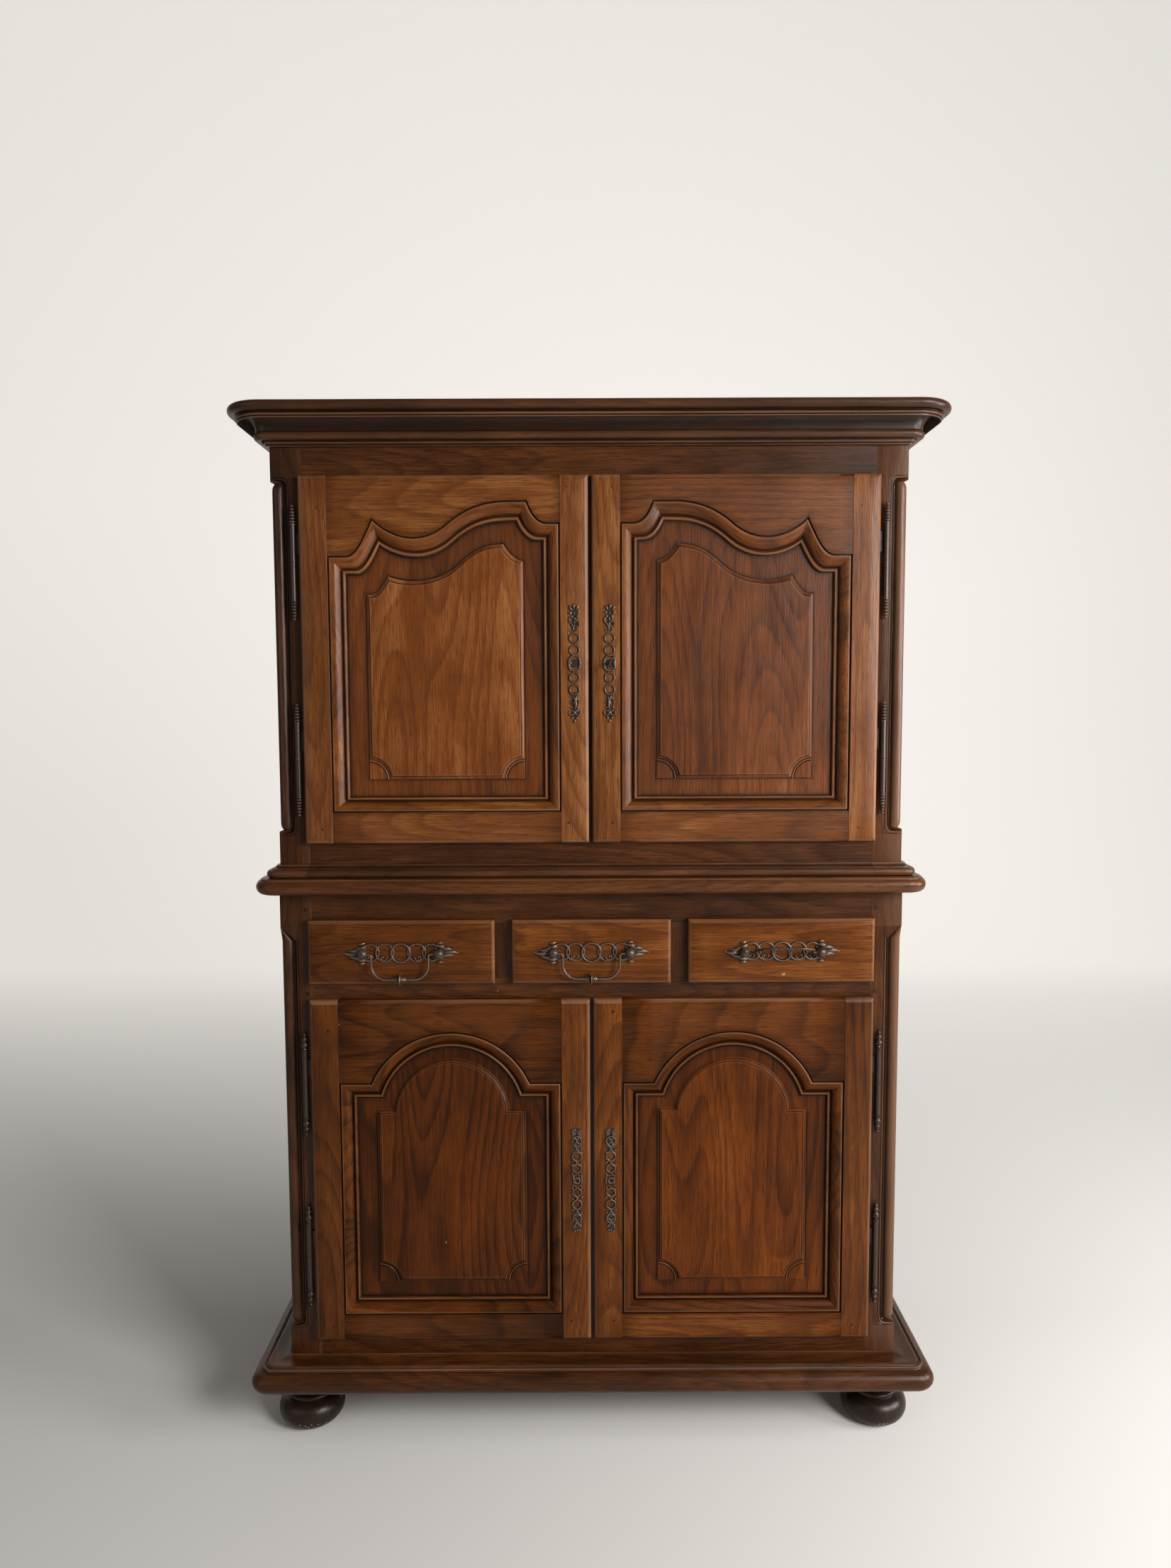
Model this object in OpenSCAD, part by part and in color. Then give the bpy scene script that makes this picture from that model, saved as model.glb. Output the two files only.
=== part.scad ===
/* [Bodies] */
// Width of the upper body over its corner posts
body_w = 1290; // [1180:2:1500]
// How far the lower body is wider than the upper one, each side
lower_wider = 3.5; // [0:0.5:12]
// Depth of both bodies, from frame front to back boards
body_d = 510; // [490:5:640]
// Gap between pieces that run past each other
run_gap = 0.3; // [0.2:0.05:0.4]

/* [Heights] */
// Height of the turned feet
foot_h = 110; // [80:1:140]
// Height of the plinth moulding
plinth_h = 54; // [50:1:60]
// Height of the lower body above the plinth
lower_h = 1002; // [940:2:1100]
// Thickness of the counter board
counter_t = 35; // [30:1:45]
// Height of the upper body from counter to cornice
upper_h = 874; // [780:2:1000]
// Height of the cornice
cornice_h = 74; // [70:1:90]

/* [Frame timbers] */
// How far the front posts reach in from the upper body's side
post_w = 63; // [56:1:80]
// Depth of the front posts
post_d = 66; // [50:1:90]
// Depth of the rear posts
rear_post_d = 45; // [30:1:60]
// Thickness of the front rails
rail_t = 30; // [24:1:40]
// Thickness of the side rails
side_rail_t = 25; // [18:1:35]
// Radius of the moulded front corners
corner_r = 22; // [12:1:30]
// Depth of the quirk beside the moulded corner
corner_quirk = 2; // [1:0.5:4]
// Width of the post between each pair of doors
centre_post_w = 36; // [30:1:50]
// Depth of the post between each pair of doors
centre_post_d = 45; // [34:1:60]
// Width of the bare rail under the lower doors
foot_rail_show = 40; // [30:1:60]
// Width of the bare rail between lower doors and drawers
mid_rail_show = 34; // [28:1:60]
// Width of the bare rail above the drawers
head_rail_show = 55; // [40:1:80]
// Width of the bare rail between counter and upper doors
sill_rail_show = 71; // [50:1:90]
// Width of the bare rail above the upper doors
top_rail_show = 59; // [40:1:90]

/* [Panels and boards] */
// Thickness of the side panels
side_panel_t = 10; // [6:1:15]
// Width of the bevel round a side panel
side_panel_bevel = 40; // [20:1:60]
// Rise of the raised field of a side panel
side_panel_rise = 5; // [2:0.5:6]
// How far a side panel lies behind the face of its rails
side_panel_set = 12; // [8:1:14]
// Thickness of the back boards
back_t = 15; // [10:1:22]
// Number of back boards in each body
back_boards = 7; // [4:1:10]
// Thickness of the shelves and floors
shelf_t = 18; // [14:1:25]
// Distance of the shelf front from the frame front
shelf_set = 72; // [70:1:120]
// Height of the shelf battens
batten_h = 24; // [15:1:30]
// Thickness of the shelf battens
batten_t = 20; // [12:1:25]
// Height of the lower shelf above the lower floor
lower_shelf_up = 360; // [250:5:450]
// Number of shelves in the upper body
upper_shelves = 2; // [1:1:3]

/* [Doors and drawers] */
// How far doors and drawers stand proud of the frame
face_proud = 20; // [16:1:26]
// Thickness of the door behind the frame face
door_inset_t = 8; // [5:1:12]
// How far doors and drawers overlap the rails
lip = 9; // [6:1:14]
// Clearance of the inset parts in their openings
inset_gap = 1.5; // [1:0.25:3]
// Gap between the two doors of a pair
meet_gap = 7; // [4:0.5:10]
// How far the upper doors overlap their corner posts
upper_lap = 4.5; // [3:0.5:8]
// How far the lower doors overlap their corner posts
lower_lap = 6.5; // [3:0.5:8]
// Radius of the rounded edge of doors and drawers
edge_r = 8; // [4:1:12]
// Width of the upper doors' stiles
upper_stile_w = 57; // [54:1:66]
// Width of the lower doors' stiles
lower_stile_w = 59.5; // [54:0.5:66]
// Height of the bottom rail of the upper doors
upper_rail_h = 64; // [50:1:80]
// Height of the bottom rail of the lower doors
lower_rail_h = 56; // [48:1:80]
// Width of the moulding round the door panels
mould_w = 35; // [28:1:40]
// Depth of the panel's flat border below the door face
border_deep = 16; // [12:0.5:18]
// Rise of the raised field above the border
field_rise = 7; // [3:0.5:9]
// Width of the bevel round the raised field
field_bevel = 8; // [4:1:12]
// Thickness of the panel at its border
panel_t = 7; // [5:0.5:9]
// Radius of the notches in the field's lower corners
notch_r = 41; // [25:1:50]
// Height of the drawer fronts
drawer_h = 134; // [126:2:160]
// Width of the middle drawer front
mid_drawer_w = 330; // [300:2:380]
// Gap between two drawer fronts
drawer_gap = 36; // [30:1:60]
// Space between the drawer boxes and the back boards
drawer_back_gap = 31; // [5:1:120]
// Thickness of the drawer sides
drawer_side_t = 12; // [8:1:16]
// Thickness of the drawer bottoms
drawer_bottom_t = 8; // [5:1:10]
// Width of the drawer runners
runner_w = 20; // [14:1:26]

/* [Mouldings] */
// Projection of the plinth
plinth_out = 74; // [60:1:90]
// Projection of the counter
counter_out = 47; // [36:1:60]
// Projection of the moulding above the counter
waist_out = 30; // [24:1:36]
// Height of the moulding above the counter
waist_h = 26; // [22:1:32]
// Projection of the cornice
cornice_out = 80; // [70:1:95]
// Thickness of the board on top of the cornice
cap_t = 15; // [10:1:20]

/* [Feet] */
// Radius of the bun
foot_r = 76; // [60:1:85]
// Radius of the rounding of the bun
foot_round = 30; // [25:1:38]
// Radius of the foot's neck
neck_r = 42; // [30:1:50]
// Radius of the foot's collar
collar_r = 52; // [44:1:60]
// Height of the foot's collar
collar_h = 12; // [8:1:18]

/* [Ironwork] */
// Distance of the hinge axis from the door's edge
hinge_out = 14; // [12:0.5:18]
// Distance of the hinge axis in front of the frame
hinge_proud = 8; // [7:0.5:10]
// Radius of the hinge barrels
barrel_r = 5.5; // [4.5:0.25:6.5]
// Radius of the hinge pins
pin_r = 3; // [2:0.25:3.5]
// Clearance round a pin in its bore
pin_gap = 0.05; // [0.03:0.01:0.1]
// Height of half a hinge barrel on the upper doors
upper_barrel = 78; // [60:1:95]
// Height of half a hinge barrel on the lower doors
lower_barrel = 72; // [55:1:95]
// Height of a hinge finial
finial_h = 39; // [25:1:45]
// Thickness of the hinge leaves
leaf_t = 2; // [1.5:0.25:3]
// How deep the hinge leaves are let into the wood
leaf_in = 24; // [15:1:30]
// Distance of the hinges from the ends of the upper doors
upper_hinge_in = 172; // [140:1:220]
// Distance of the hinges from the ends of the lower doors
lower_hinge_in = 182; // [140:1:220]
// Length of the escutcheons on the upper doors
upper_plate_len = 245; // [200:1:280]
// Length of the escutcheons on the lower doors
lower_plate_len = 226; // [200:1:280]
// Width of the escutcheons
plate_w = 27; // [22:1:32]
// Thickness of the escutcheons and pull plates
plate_t = 2.5; // [1.5:0.25:3.5]
// Distance of the left keyholes from the door's meeting edge
left_key_in = 28.5; // [28:0.5:32]
// Distance of the right keyholes from the door's meeting edge
right_key_in = 36; // [28:0.5:40]
// Radius of the key's shank
key_r = 2.8; // [2:0.1:3.2]
// Radius swept by the key's bit
bit_r = 8.8; // [6:0.2:9]
// Length of the key outside its escutcheon
key_out = 40; // [30:1:60]
// Height of the key's bow
bow_h = 30; // [20:1:36]
// Turn of the key's bow from upright, in degrees
bow_turn = 28; // [0:1:90]
// Width of a lock case
lock_w = 52; // [48:1:60]
// Height of a lock case
lock_h = 80; // [60:1:110]
// Depth of a lock case
lock_t = 14; // [14:0.5:18]
// Wall of a lock case
lock_wall = 1.5; // [1:0.25:2]
// Travel of a lock's bolt
bolt_travel = 12; // [8:0.5:12]
// Height of a lock's bolt
bolt_h = 16; // [10:1:20]
// Thickness of a lock's bolt
bolt_t = 5; // [4:0.25:6]

/* [Drawer pulls] */
// Length of a pull plate
pull_len = 240; // [220:1:260]
// Height of a pull plate
pull_h = 47; // [40:1:54]
// Distance of the bosses from the middle of a pull
boss_x = 79; // [74:1:86]
// Radius of the bosses
boss_r = 11; // [9:0.5:13]
// Distance of the bail's axis in front of the drawer
pivot_out = 13.5; // [13.5:0.5:16]
// Half the width of the bail between its legs
bail_x = 59; // [50:1:61]
// Drop of the bail below its axis
bail_drop = 53; // [44:1:53]
// Radius of the bail's bar
bail_r = 2.8; // [2.2:0.1:3.2]
// Radius of the bail's lower bends
bail_bend = 30; // [20:1:40]
// Radius of the disc in the middle of the bail
disc_r = 12.5; // [8:0.5:12.5]
// Angle at which the right bail stands, in degrees
stand_angle = 112; // [60:1:130]

/* [Hidden] */

$fn = 48;

rail_brown = [0.24, 0.14, 0.09];
door_brown = [0.36, 0.20, 0.11];
panel_brown = [0.45, 0.25, 0.12];
foot_black = [0.12, 0.09, 0.09];
inside_brown = [0.42, 0.30, 0.20];
iron = [0.22, 0.18, 0.16];

// Heights of the levels, from the floor up
z_body = foot_h + plinth_h;
z_counter = z_body + lower_h;
z_upper = z_counter + counter_t;
z_cornice = z_upper + upper_h;
z_top = z_cornice + cornice_h;

// Half widths of the two bodies, and the inner faces of their posts
upper_half = body_w / 2;
lower_half = upper_half + lower_wider;
post_in = upper_half - post_w;

// Front plane of the frames: the standing bail reaches furthest forward
bail_reach = face_proud + pivot_out + bail_drop * sin(stand_angle) + disc_r;
front_reach = max(cornice_out, plinth_out, bail_reach);
y_front = front_reach - (body_d + front_reach) / 2;

// Doors: lower and upper ends, and half the width over each pair
ldoor_z0 = z_body + foot_rail_show;
drawer_z1 = z_counter - head_rail_show;
drawer_z0 = drawer_z1 - drawer_h;
ldoor_z1 = drawer_z0 - mid_rail_show;
udoor_z0 = z_upper + sill_rail_show;
udoor_z1 = z_cornice - top_rail_show;
upper_doors_half = post_in + upper_lap;
lower_doors_half = post_in + lower_lap;
upper_door_w = upper_doors_half - meet_gap / 2;
lower_door_w = lower_doors_half - meet_gap / 2;
door_back = door_inset_t;
inset_meet = centre_post_w / 2 - meet_gap / 2 + inset_gap;

// Drawers: widths of the fronts and places of their centres
side_drawer_w = lower_doors_half - mid_drawer_w / 2 - drawer_gap;
side_drawer_x = lower_doors_half - side_drawer_w / 2;
divider_w = drawer_gap + 2 * lip;
divider_x = mid_drawer_w / 2 + drawer_gap / 2;
bay_z0 = drawer_z0 + lip;
bay_z1 = drawer_z1 - lip;
box_in = lip + inset_gap;
box_z0 = bay_z0 + run_gap;
box_h = bay_z1 - bay_z0 - 4;
drawer_mid_z = (drawer_z0 + drawer_z1) / 2;
front_inner_t = 14;
drawer_len = body_d - back_t - front_inner_t - drawer_back_gap;

// Keyholes sit a little below the middle of the doors
upper_key_z = (udoor_z0 + udoor_z1) / 2 - 5;
lower_key_z = (ldoor_z0 + ldoor_z1) / 2 - 18;

back_y = body_d - back_t;
rear_y = body_d - rear_post_d;

function lerp(a, b, t) = a + (b - a) * t;
function bezier(a, b, c, d, n) = [for (i = [1 : n])
    let (t = i / n, s = 1 - t) s * s * s * a + 3 * s * s * t * b + 3 * s * t * t * c + t * t * t * d];
function arc(centre, r, a0, a1, n) = [for (i = [0 : n])
    let (a = a0 + (a1 - a0) * i / n) centre + r * [cos(a), sin(a)]];

module box(a, b) { translate(a) cube(b - a); }

module at_front() { translate([0, y_front, 0]) children(); }

module both_sides() {
    children();
    mirror([1, 0, 0]) children();
}

// A profile drawn as [outward, height] runs along the front of a body, round both corners
module front_run(half) {
    rotate([0, 0, -90]) rotate([90, 0, 0]) linear_extrude(2 * half, center = true) children();
    both_sides() translate([half, 0, 0]) rotate([0, 0, -90]) rotate_extrude(angle = 90) children();
}

// The same profile runs along both sides of a body
module side_runs(half) {
    both_sides() translate([half, body_d, 0]) rotate([90, 0, 0]) linear_extrude(body_d - run_gap) children();
}

module bun_feet() {
    foot_x = (post_in + lower_half) / 2 - 5;
    front_y = post_d / 2 + 5;
    color(foot_black) at_front()
        for (y = [front_y, body_d - foot_r], side = [-1, 1])
            translate([side * foot_x, y, 0]) bun_foot();
}

module bun_foot() {
    rotate_extrude($fn = 64) {
        square([foot_r - foot_round, 2 * foot_round]);
        translate([foot_r - foot_round, foot_round]) intersection() {
            circle(foot_round);
            translate([0, -foot_round]) square(2 * foot_round);
        }
        square([neck_r, foot_h]);
        translate([0, foot_h - 2 * collar_h]) square([collar_r, collar_h]);
    }
}

module plinth_profile() {
    torus_r = 22;
    torus_x = plinth_out - torus_r;
    polygon([[0, 0], [torus_x, 0], [torus_x, 2 * torus_r], [torus_x - 6, plinth_h - 7],
        [torus_x - 14, plinth_h - 5], [10, plinth_h - 4], [8, plinth_h], [0, plinth_h]]);
    translate([torus_x, torus_r]) circle(torus_r);
}

module plinth_moulding() {
    color(rail_brown) at_front() translate([0, 0, foot_h]) {
        front_run(lower_half) plinth_profile();
        side_runs(lower_half) plinth_profile();
    }
}

// A corner post with its front edge rounded between two stopped ends
module front_post(half, z0, z1, round_z0, round_z1, hinge_zs, axis_x, barrel) {
    difference() {
        box([post_in, 0, z0], [half, post_d, z1]);
        difference() {
            box([half - corner_r, -1, round_z0], [half + 1, corner_r, round_z1]);
            translate([half - corner_r, corner_r, z0])
                cylinder(r = corner_r - corner_quirk, h = z1 - z0);
        }
        for (z = hinge_zs)
            box([axis_x - leaf_t / 2 - pin_gap, -1, z - barrel - pin_gap],
                [axis_x + leaf_t / 2 + pin_gap, leaf_in - hinge_proud + pin_gap, z - barrel / 4]);
    }
}

module rear_post(half, z0, z1) { box([post_in, rear_y, z0], [half, back_y, z1]); }

upper_axis_x = upper_doors_half + hinge_out;
lower_axis_x = lower_doors_half + hinge_out;
upper_hinge_zs = [udoor_z0 + upper_hinge_in, udoor_z1 - upper_hinge_in];
lower_hinge_zs = [ldoor_z0 + lower_hinge_in, ldoor_z1 - lower_hinge_in];

module lower_posts() {
    color(rail_brown) at_front() both_sides() {
        front_post(lower_half, foot_h, z_counter, z_body + 56, z_counter - 87,
            lower_hinge_zs, lower_axis_x, lower_barrel);
        rear_post(lower_half, foot_h, z_counter);
    }
}

module upper_posts() {
    color(rail_brown) at_front() both_sides() {
        front_post(upper_half, z_upper, z_top - cap_t, udoor_z0 + 13, udoor_z1 + 1,
            upper_hinge_zs, upper_axis_x, upper_barrel);
        rear_post(upper_half, z_upper, z_top - cap_t);
    }
}

// The post behind a pair of doors, mortised on both sides for the lock bolts
module centre_post(z0, z1, key_z) {
    difference() {
        box([-centre_post_w / 2, 0, z0], [centre_post_w / 2, centre_post_d, z1]);
        both_sides()
            box([centre_post_w / 2 - bolt_travel - 1, bolt_y - 0.5, key_z - bolt_h / 2 - 0.7],
                [centre_post_w / 2 + 1, bolt_y + bolt_t + 0.5, key_z + bolt_h / 2 + 0.7]);
    }
}

module lower_centre_post() {
    color(rail_brown) at_front() centre_post(ldoor_z0 + lip, ldoor_z1 - lip, lower_key_z);
}

module upper_centre_post() {
    color(rail_brown) at_front() centre_post(udoor_z0 + lip, udoor_z1 - lip, upper_key_z);
}

module front_rail(z0, z1) { box([-post_in, 0, z0], [post_in, rail_t, z1]); }

module lower_front_rails() {
    color(rail_brown) at_front() {
        front_rail(foot_h, ldoor_z0 + lip);
        front_rail(ldoor_z1 - lip, bay_z0);
        front_rail(bay_z1, z_counter);
    }
}

module upper_front_rails() {
    color(rail_brown) at_front() {
        front_rail(z_upper, udoor_z0 + lip);
        front_rail(udoor_z1 - lip, z_top - cap_t);
    }
}

module drawer_dividers() {
    color(rail_brown) at_front() both_sides()
        box([divider_x - divider_w / 2, 0, bay_z0], [divider_x + divider_w / 2, rail_t, bay_z1]);
}

module side_rail(half, z0, z1) { box([half - side_rail_t, post_d, z0], [half, rear_y, z1]); }

module lower_side_rails() {
    color(rail_brown) at_front() both_sides() {
        side_rail(lower_half, foot_h, ldoor_z0 + lip);
        side_rail(lower_half, ldoor_z1 - lip, bay_z0);
        side_rail(lower_half, bay_z1, z_counter);
    }
}

module upper_side_rails() {
    color(rail_brown) at_front() both_sides() {
        side_rail(upper_half, z_upper, udoor_z0 + lip);
        side_rail(upper_half, udoor_z1 - lip, z_top - cap_t);
    }
}

// A raised panel between two side rails
module side_panel(half, z0, z1) {
    face = half - side_panel_set;
    bevel = side_panel_bevel;
    box([face - side_panel_t, post_d, z0], [face, rear_y, z1]);
    low = [face - 1, face + side_panel_rise];
    polyhedron(
        points = [
            for (i = [0, 1], p = [[0, 0], [1, 0], [1, 1], [0, 1]])
                let (m = i == 0 ? bevel / 2 : bevel)
                [low[i], p[0] == 0 ? post_d + m : rear_y - m, p[1] == 0 ? z0 + m : z1 - m]],
        faces = [[0, 1, 2, 3], [7, 6, 5, 4], [4, 5, 1, 0], [5, 6, 2, 1], [6, 7, 3, 2], [7, 4, 0, 3]]);
}

module lower_side_panels() {
    color(door_brown) at_front() both_sides() {
        side_panel(lower_half, ldoor_z0 + lip, ldoor_z1 - lip);
        side_panel(lower_half, bay_z0, bay_z1);
    }
}

module upper_side_panels() {
    color(door_brown) at_front() both_sides() side_panel(upper_half, udoor_z0 + lip, udoor_z1 - lip);
}

// Upright back boards, a little apart
module back_wall(half, z0, z1) {
    board_w = 2 * half / back_boards;
    for (i = [0 : back_boards - 1])
        box([-half + i * board_w + run_gap / 2, back_y, z0],
            [-half + (i + 1) * board_w - run_gap / 2, body_d, z1]);
}

module lower_back_boards() {
    color(inside_brown) at_front() back_wall(lower_half, foot_h, z_counter);
}

module upper_back_boards() {
    color(inside_brown) at_front() back_wall(upper_half, z_upper, z_top - cap_t);
}

// A floor or shelf notched round the posts, on two battens that run from post to post
module shelf(half, z, front) {
    box([-post_in + run_gap, front, z - shelf_t], [post_in - run_gap, back_y, z]);
    both_sides() {
        box([post_in - 1, max(front, post_d + run_gap), z - shelf_t],
            [half - side_rail_t, rear_y - run_gap, z]);
        box([post_in - batten_t, rail_t, z - shelf_t - batten_h], [post_in, back_y, z - shelf_t]);
    }
}

module lower_boards() {
    color(inside_brown) at_front() {
        shelf(lower_half, ldoor_z0 + lip, rail_t);
        shelf(lower_half, ldoor_z0 + lip + lower_shelf_up, shelf_set);
    }
}

module upper_boards() {
    bay = (udoor_z1 - udoor_z0) / (upper_shelves + 1);
    color(inside_brown) at_front() {
        shelf(upper_half, udoor_z0 + lip, rail_t);
        for (i = [1 : upper_shelves]) shelf(upper_half, udoor_z0 + lip + i * bay, shelf_set);
    }
}

// Runners under the drawer sides, guides beside them and kickers above them
module drawer_runners() {
    guide_h = 20;
    outer_box = side_drawer_x + side_drawer_w / 2 - box_in;
    color(inside_brown) at_front() both_sides() {
        box([divider_x - divider_w / 2 - runner_w, rail_t, bay_z0 - runner_w],
            [divider_x + divider_w / 2 + runner_w, back_y, bay_z0]);
        box([divider_x - divider_w / 2, rail_t, bay_z0 - 1],
            [divider_x + divider_w / 2, back_y, bay_z0 + guide_h]);
        box([divider_x - divider_w / 2 - runner_w, rail_t, bay_z1],
            [divider_x + divider_w / 2 + runner_w, back_y, bay_z1 + runner_w]);
        box([post_in - 2 * runner_w, rail_t, bay_z0 - runner_w], [post_in, back_y, bay_z0]);
        box([outer_box + inset_gap, rail_t, bay_z0 - 1], [post_in, back_y, bay_z0 + guide_h]);
        box([post_in - 2 * runner_w, rail_t, bay_z1], [post_in, back_y, bay_z1 + runner_w]);
    }
}

module counter_profile() {
    nose_r = counter_t / 2;
    difference() {
        union() {
            square([counter_out - nose_r, counter_t]);
            translate([counter_out - nose_r, nose_r]) circle(nose_r);
        }
        translate([counter_out - nose_r + 4, counter_t - 4]) square([nose_r, 1.5]);
    }
}

module counter_top() {
    color(rail_brown) at_front() translate([0, 0, z_counter]) {
        box([-lower_half, 0, 0], [lower_half, body_d, counter_t]);
        front_run(lower_half) counter_profile();
        both_sides() translate([lower_half, body_d, 0]) rotate([90, 0, 0])
            linear_extrude(body_d) counter_profile();
    }
}

module waist_profile() {
    bead_r = 4;
    torus_r = 6.5;
    polygon([[0, 0], [waist_out - torus_r, 0], [waist_out - torus_r, 2 * torus_r],
        [waist_out - 10, 2 * torus_r + 2], [waist_out - 16, waist_h - 2 * bead_r],
        [waist_out - 16, waist_h], [0, waist_h]]);
    translate([waist_out - torus_r, torus_r]) circle(torus_r);
    translate([waist_out - 16, waist_h - bead_r]) circle(bead_r);
}

// The moulding above the counter: two corner blocks, the front length and the side lengths
module waist_moulding() {
    color(rail_brown) at_front() translate([0, 0, z_upper]) {
        rotate([0, 0, -90]) rotate([90, 0, 0])
            linear_extrude(2 * post_in - run_gap, center = true) waist_profile();
        both_sides() {
            translate([upper_half, 0, 0]) rotate([0, 0, -90]) rotate([90, 0, 0])
                linear_extrude(post_w) waist_profile();
            translate([upper_half, 0, 0]) rotate([0, 0, -90])
                rotate_extrude(angle = 90) waist_profile();
        }
        side_runs(upper_half) waist_profile();
    }
}

module cornice_profile() {
    nose_r = 9.5;
    bead_r = 3;
    torus_r = 8;
    torus_x = 30 - torus_r;
    polygon([[0, 0], [7, 0], [7, 3], [14, 5], [15, 9], [torus_x, 9], [torus_x, 25], [26, 25],
        [26, 28], for (a = [0 : 15 : 90]) [62 - 34 * cos(a), 28 + 15 * sin(a)],
        [62, 46], [60, 48], [66, 49], [66, cornice_h - 2 * nose_r],
        [cornice_out - nose_r, cornice_h - 2 * nose_r], [cornice_out - nose_r, cornice_h], [0, cornice_h]]);
    translate([torus_x, 17]) circle(torus_r);
    translate([66, 51]) circle(bead_r);
    translate([cornice_out - nose_r, cornice_h - nose_r]) circle(nose_r);
}

module cornice() {
    color(rail_brown) at_front() {
        translate([0, 0, z_cornice]) {
            front_run(upper_half) cornice_profile();
            side_runs(upper_half) cornice_profile();
        }
        box([-upper_half, 0, z_top - cap_t], [upper_half, body_d, z_top]);
    }
}

module finial() {
    r = barrel_r;
    rotate_extrude() polygon([[0, 0], [r + 1.5, 0], [r + 1.5, 2], [r, 3], [r, 5], [r + 1.2, 6],
        [r + 1.2, 9], [r - 2, 11], [r + 0.8, 14], [r + 0.8, 17], [r - 2.5, 20], [r - 0.5, 24],
        [r - 1.5, finial_h - 9], [1.5, finial_h - 6], [2, finial_h - 3], [1, finial_h], [0, finial_h]]);
}

// The fixed half of a hinge: finial, barrel, pin and the leaf let into the post
module pintle(barrel) {
    translate([0, 0, -barrel]) cylinder(r = barrel_r, h = barrel - run_gap / 2);
    translate([0, 0, -barrel - finial_h + run_gap]) cylinder(r = pin_r, h = barrel * 1.7 + finial_h);
    translate([0, 0, -barrel + run_gap]) mirror([0, 0, 1]) finial();
    box([-leaf_t / 2, 0, -barrel], [leaf_t / 2, leaf_in, -barrel / 4]);
}

// The moving half of a hinge: barrel bored for the pin, finial and the leaf let into the door
module knuckle(barrel, side) {
    difference() {
        union() {
            translate([0, 0, run_gap / 2]) cylinder(r = barrel_r, h = barrel - run_gap / 2);
            translate([0, 0, barrel - run_gap]) finial();
            mirror([side < 0 ? 0 : 1, 0, 0])
                box([0, -leaf_t / 2, barrel / 4], [hinge_out + leaf_in, leaf_t / 2, barrel]);
        }
        translate([0, 0, -1]) cylinder(r = pin_r + pin_gap, h = barrel * 0.7 + 2.5);
    }
}

module hinge_pintles() {
    color(iron) at_front() both_sides() {
        for (z = upper_hinge_zs) translate([upper_axis_x, -hinge_proud, z]) pintle(upper_barrel);
        for (z = lower_hinge_zs) translate([lower_axis_x, -hinge_proud, z]) pintle(lower_barrel);
    }
}

module knuckles(side, upper) {
    axis_x = upper ? upper_axis_x : lower_axis_x;
    color(iron) at_front() for (z = upper ? upper_hinge_zs : lower_hinge_zs)
        translate([side * axis_x, -hinge_proud, z])
            knuckle(upper ? upper_barrel : lower_barrel, side);
}

// Outline of the upper doors' opening at a share s of the way to the raised field, in door
// coordinates: x from the hinge edge, y from the foot of the door. The field lies field_in inside.
// The arch is drawn for an opening arch_drawn_w wide and spreads with the door: a point on it is
// given by how far it is from the hinge stile in that drawing, and how far below the arch's top.
field_in = 75;
arch_rail = 51;
arch_drawn_w = 469;
arch_top = udoor_z1 - udoor_z0 - arch_rail;
arch_right = upper_door_w - upper_stile_w;
arch_spread = (arch_right - upper_stile_w) / arch_drawn_w;

function on_arch(x, down) = [upper_stile_w + x * arch_spread, arch_top - down];

function upper_arch(s) =
    let (
        shoulder = lerp(on_arch(0, 109), [upper_stile_w + field_in, arch_top - 185], s),
        foot = lerp(on_arch(33, 109), on_arch(84, 185), s),
        cusp = lerp(on_arch(90, 34), on_arch(120, 148), s),
        dip = lerp(on_arch(242, 44), on_arch(261, 126), s),
        crest = lerp(on_arch(362, 0), on_arch(335, 86), s),
        peak = lerp(on_arch(403, 0), on_arch(354, 84), s),
        ledge = lerp(on_arch(445, 44), on_arch(389, 117), s),
        corner = lerp(on_arch(arch_drawn_w, 44), [arch_right - field_in, arch_top - 119], s))
    concat(
        [shoulder, foot],
        bezier(foot, lerp(on_arch(55, 109), on_arch(96, 185), s),
            lerp(on_arch(67, 85), on_arch(106, 172), s), cusp, 6),
        bezier(cusp, lerp(on_arch(128, 72), on_arch(158, 164), s),
            lerp(on_arch(188, 91), on_arch(220, 163), s), dip, 8),
        bezier(dip, lerp(on_arch(276, 14.5), on_arch(286, 104), s),
            lerp(on_arch(315, 0), on_arch(303, 90), s), crest, 7),
        [peak],
        bezier(peak, lerp(on_arch(413, 27), on_arch(363, 100), s),
            lerp(on_arch(425, 44), on_arch(375, 114), s), ledge, 5),
        [corner]);

function upper_opening(d) = concat(
    upper_arch(d / field_in),
    [[arch_right - d, upper_rail_h + d * 0.9], [upper_stile_w + d, upper_rail_h + d * 0.9]]);

// The field also has a round notch in each lower corner; e is how far inside its edge
function upper_field(e) =
    let (d = field_in + e, foot_y = upper_rail_h + field_in * 0.9)
    concat(
        upper_arch(d / field_in),
        arc([arch_right - field_in, foot_y], notch_r + e, 90 + asin(e / (notch_r + e)),
            180 - asin(e / (notch_r + e)), 8),
        arc([upper_stile_w + field_in, foot_y], notch_r + e, asin(e / (notch_r + e)),
            90 - asin(e / (notch_r + e)), 8));

// The lower doors' opening has level shoulders and a round arch. An outline lies side_in inside
// the opening's sides, top_in inside its arch and foot_in inside its foot.
lower_arch_rail = 67.5;
arch_inset = 49.5;
arch_r = lower_door_w / 2 - lower_stile_w - arch_inset;
arch_centre = [lower_door_w / 2, ldoor_z1 - ldoor_z0 - lower_arch_rail - arch_r];
shoulder_up = 75;

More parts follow.
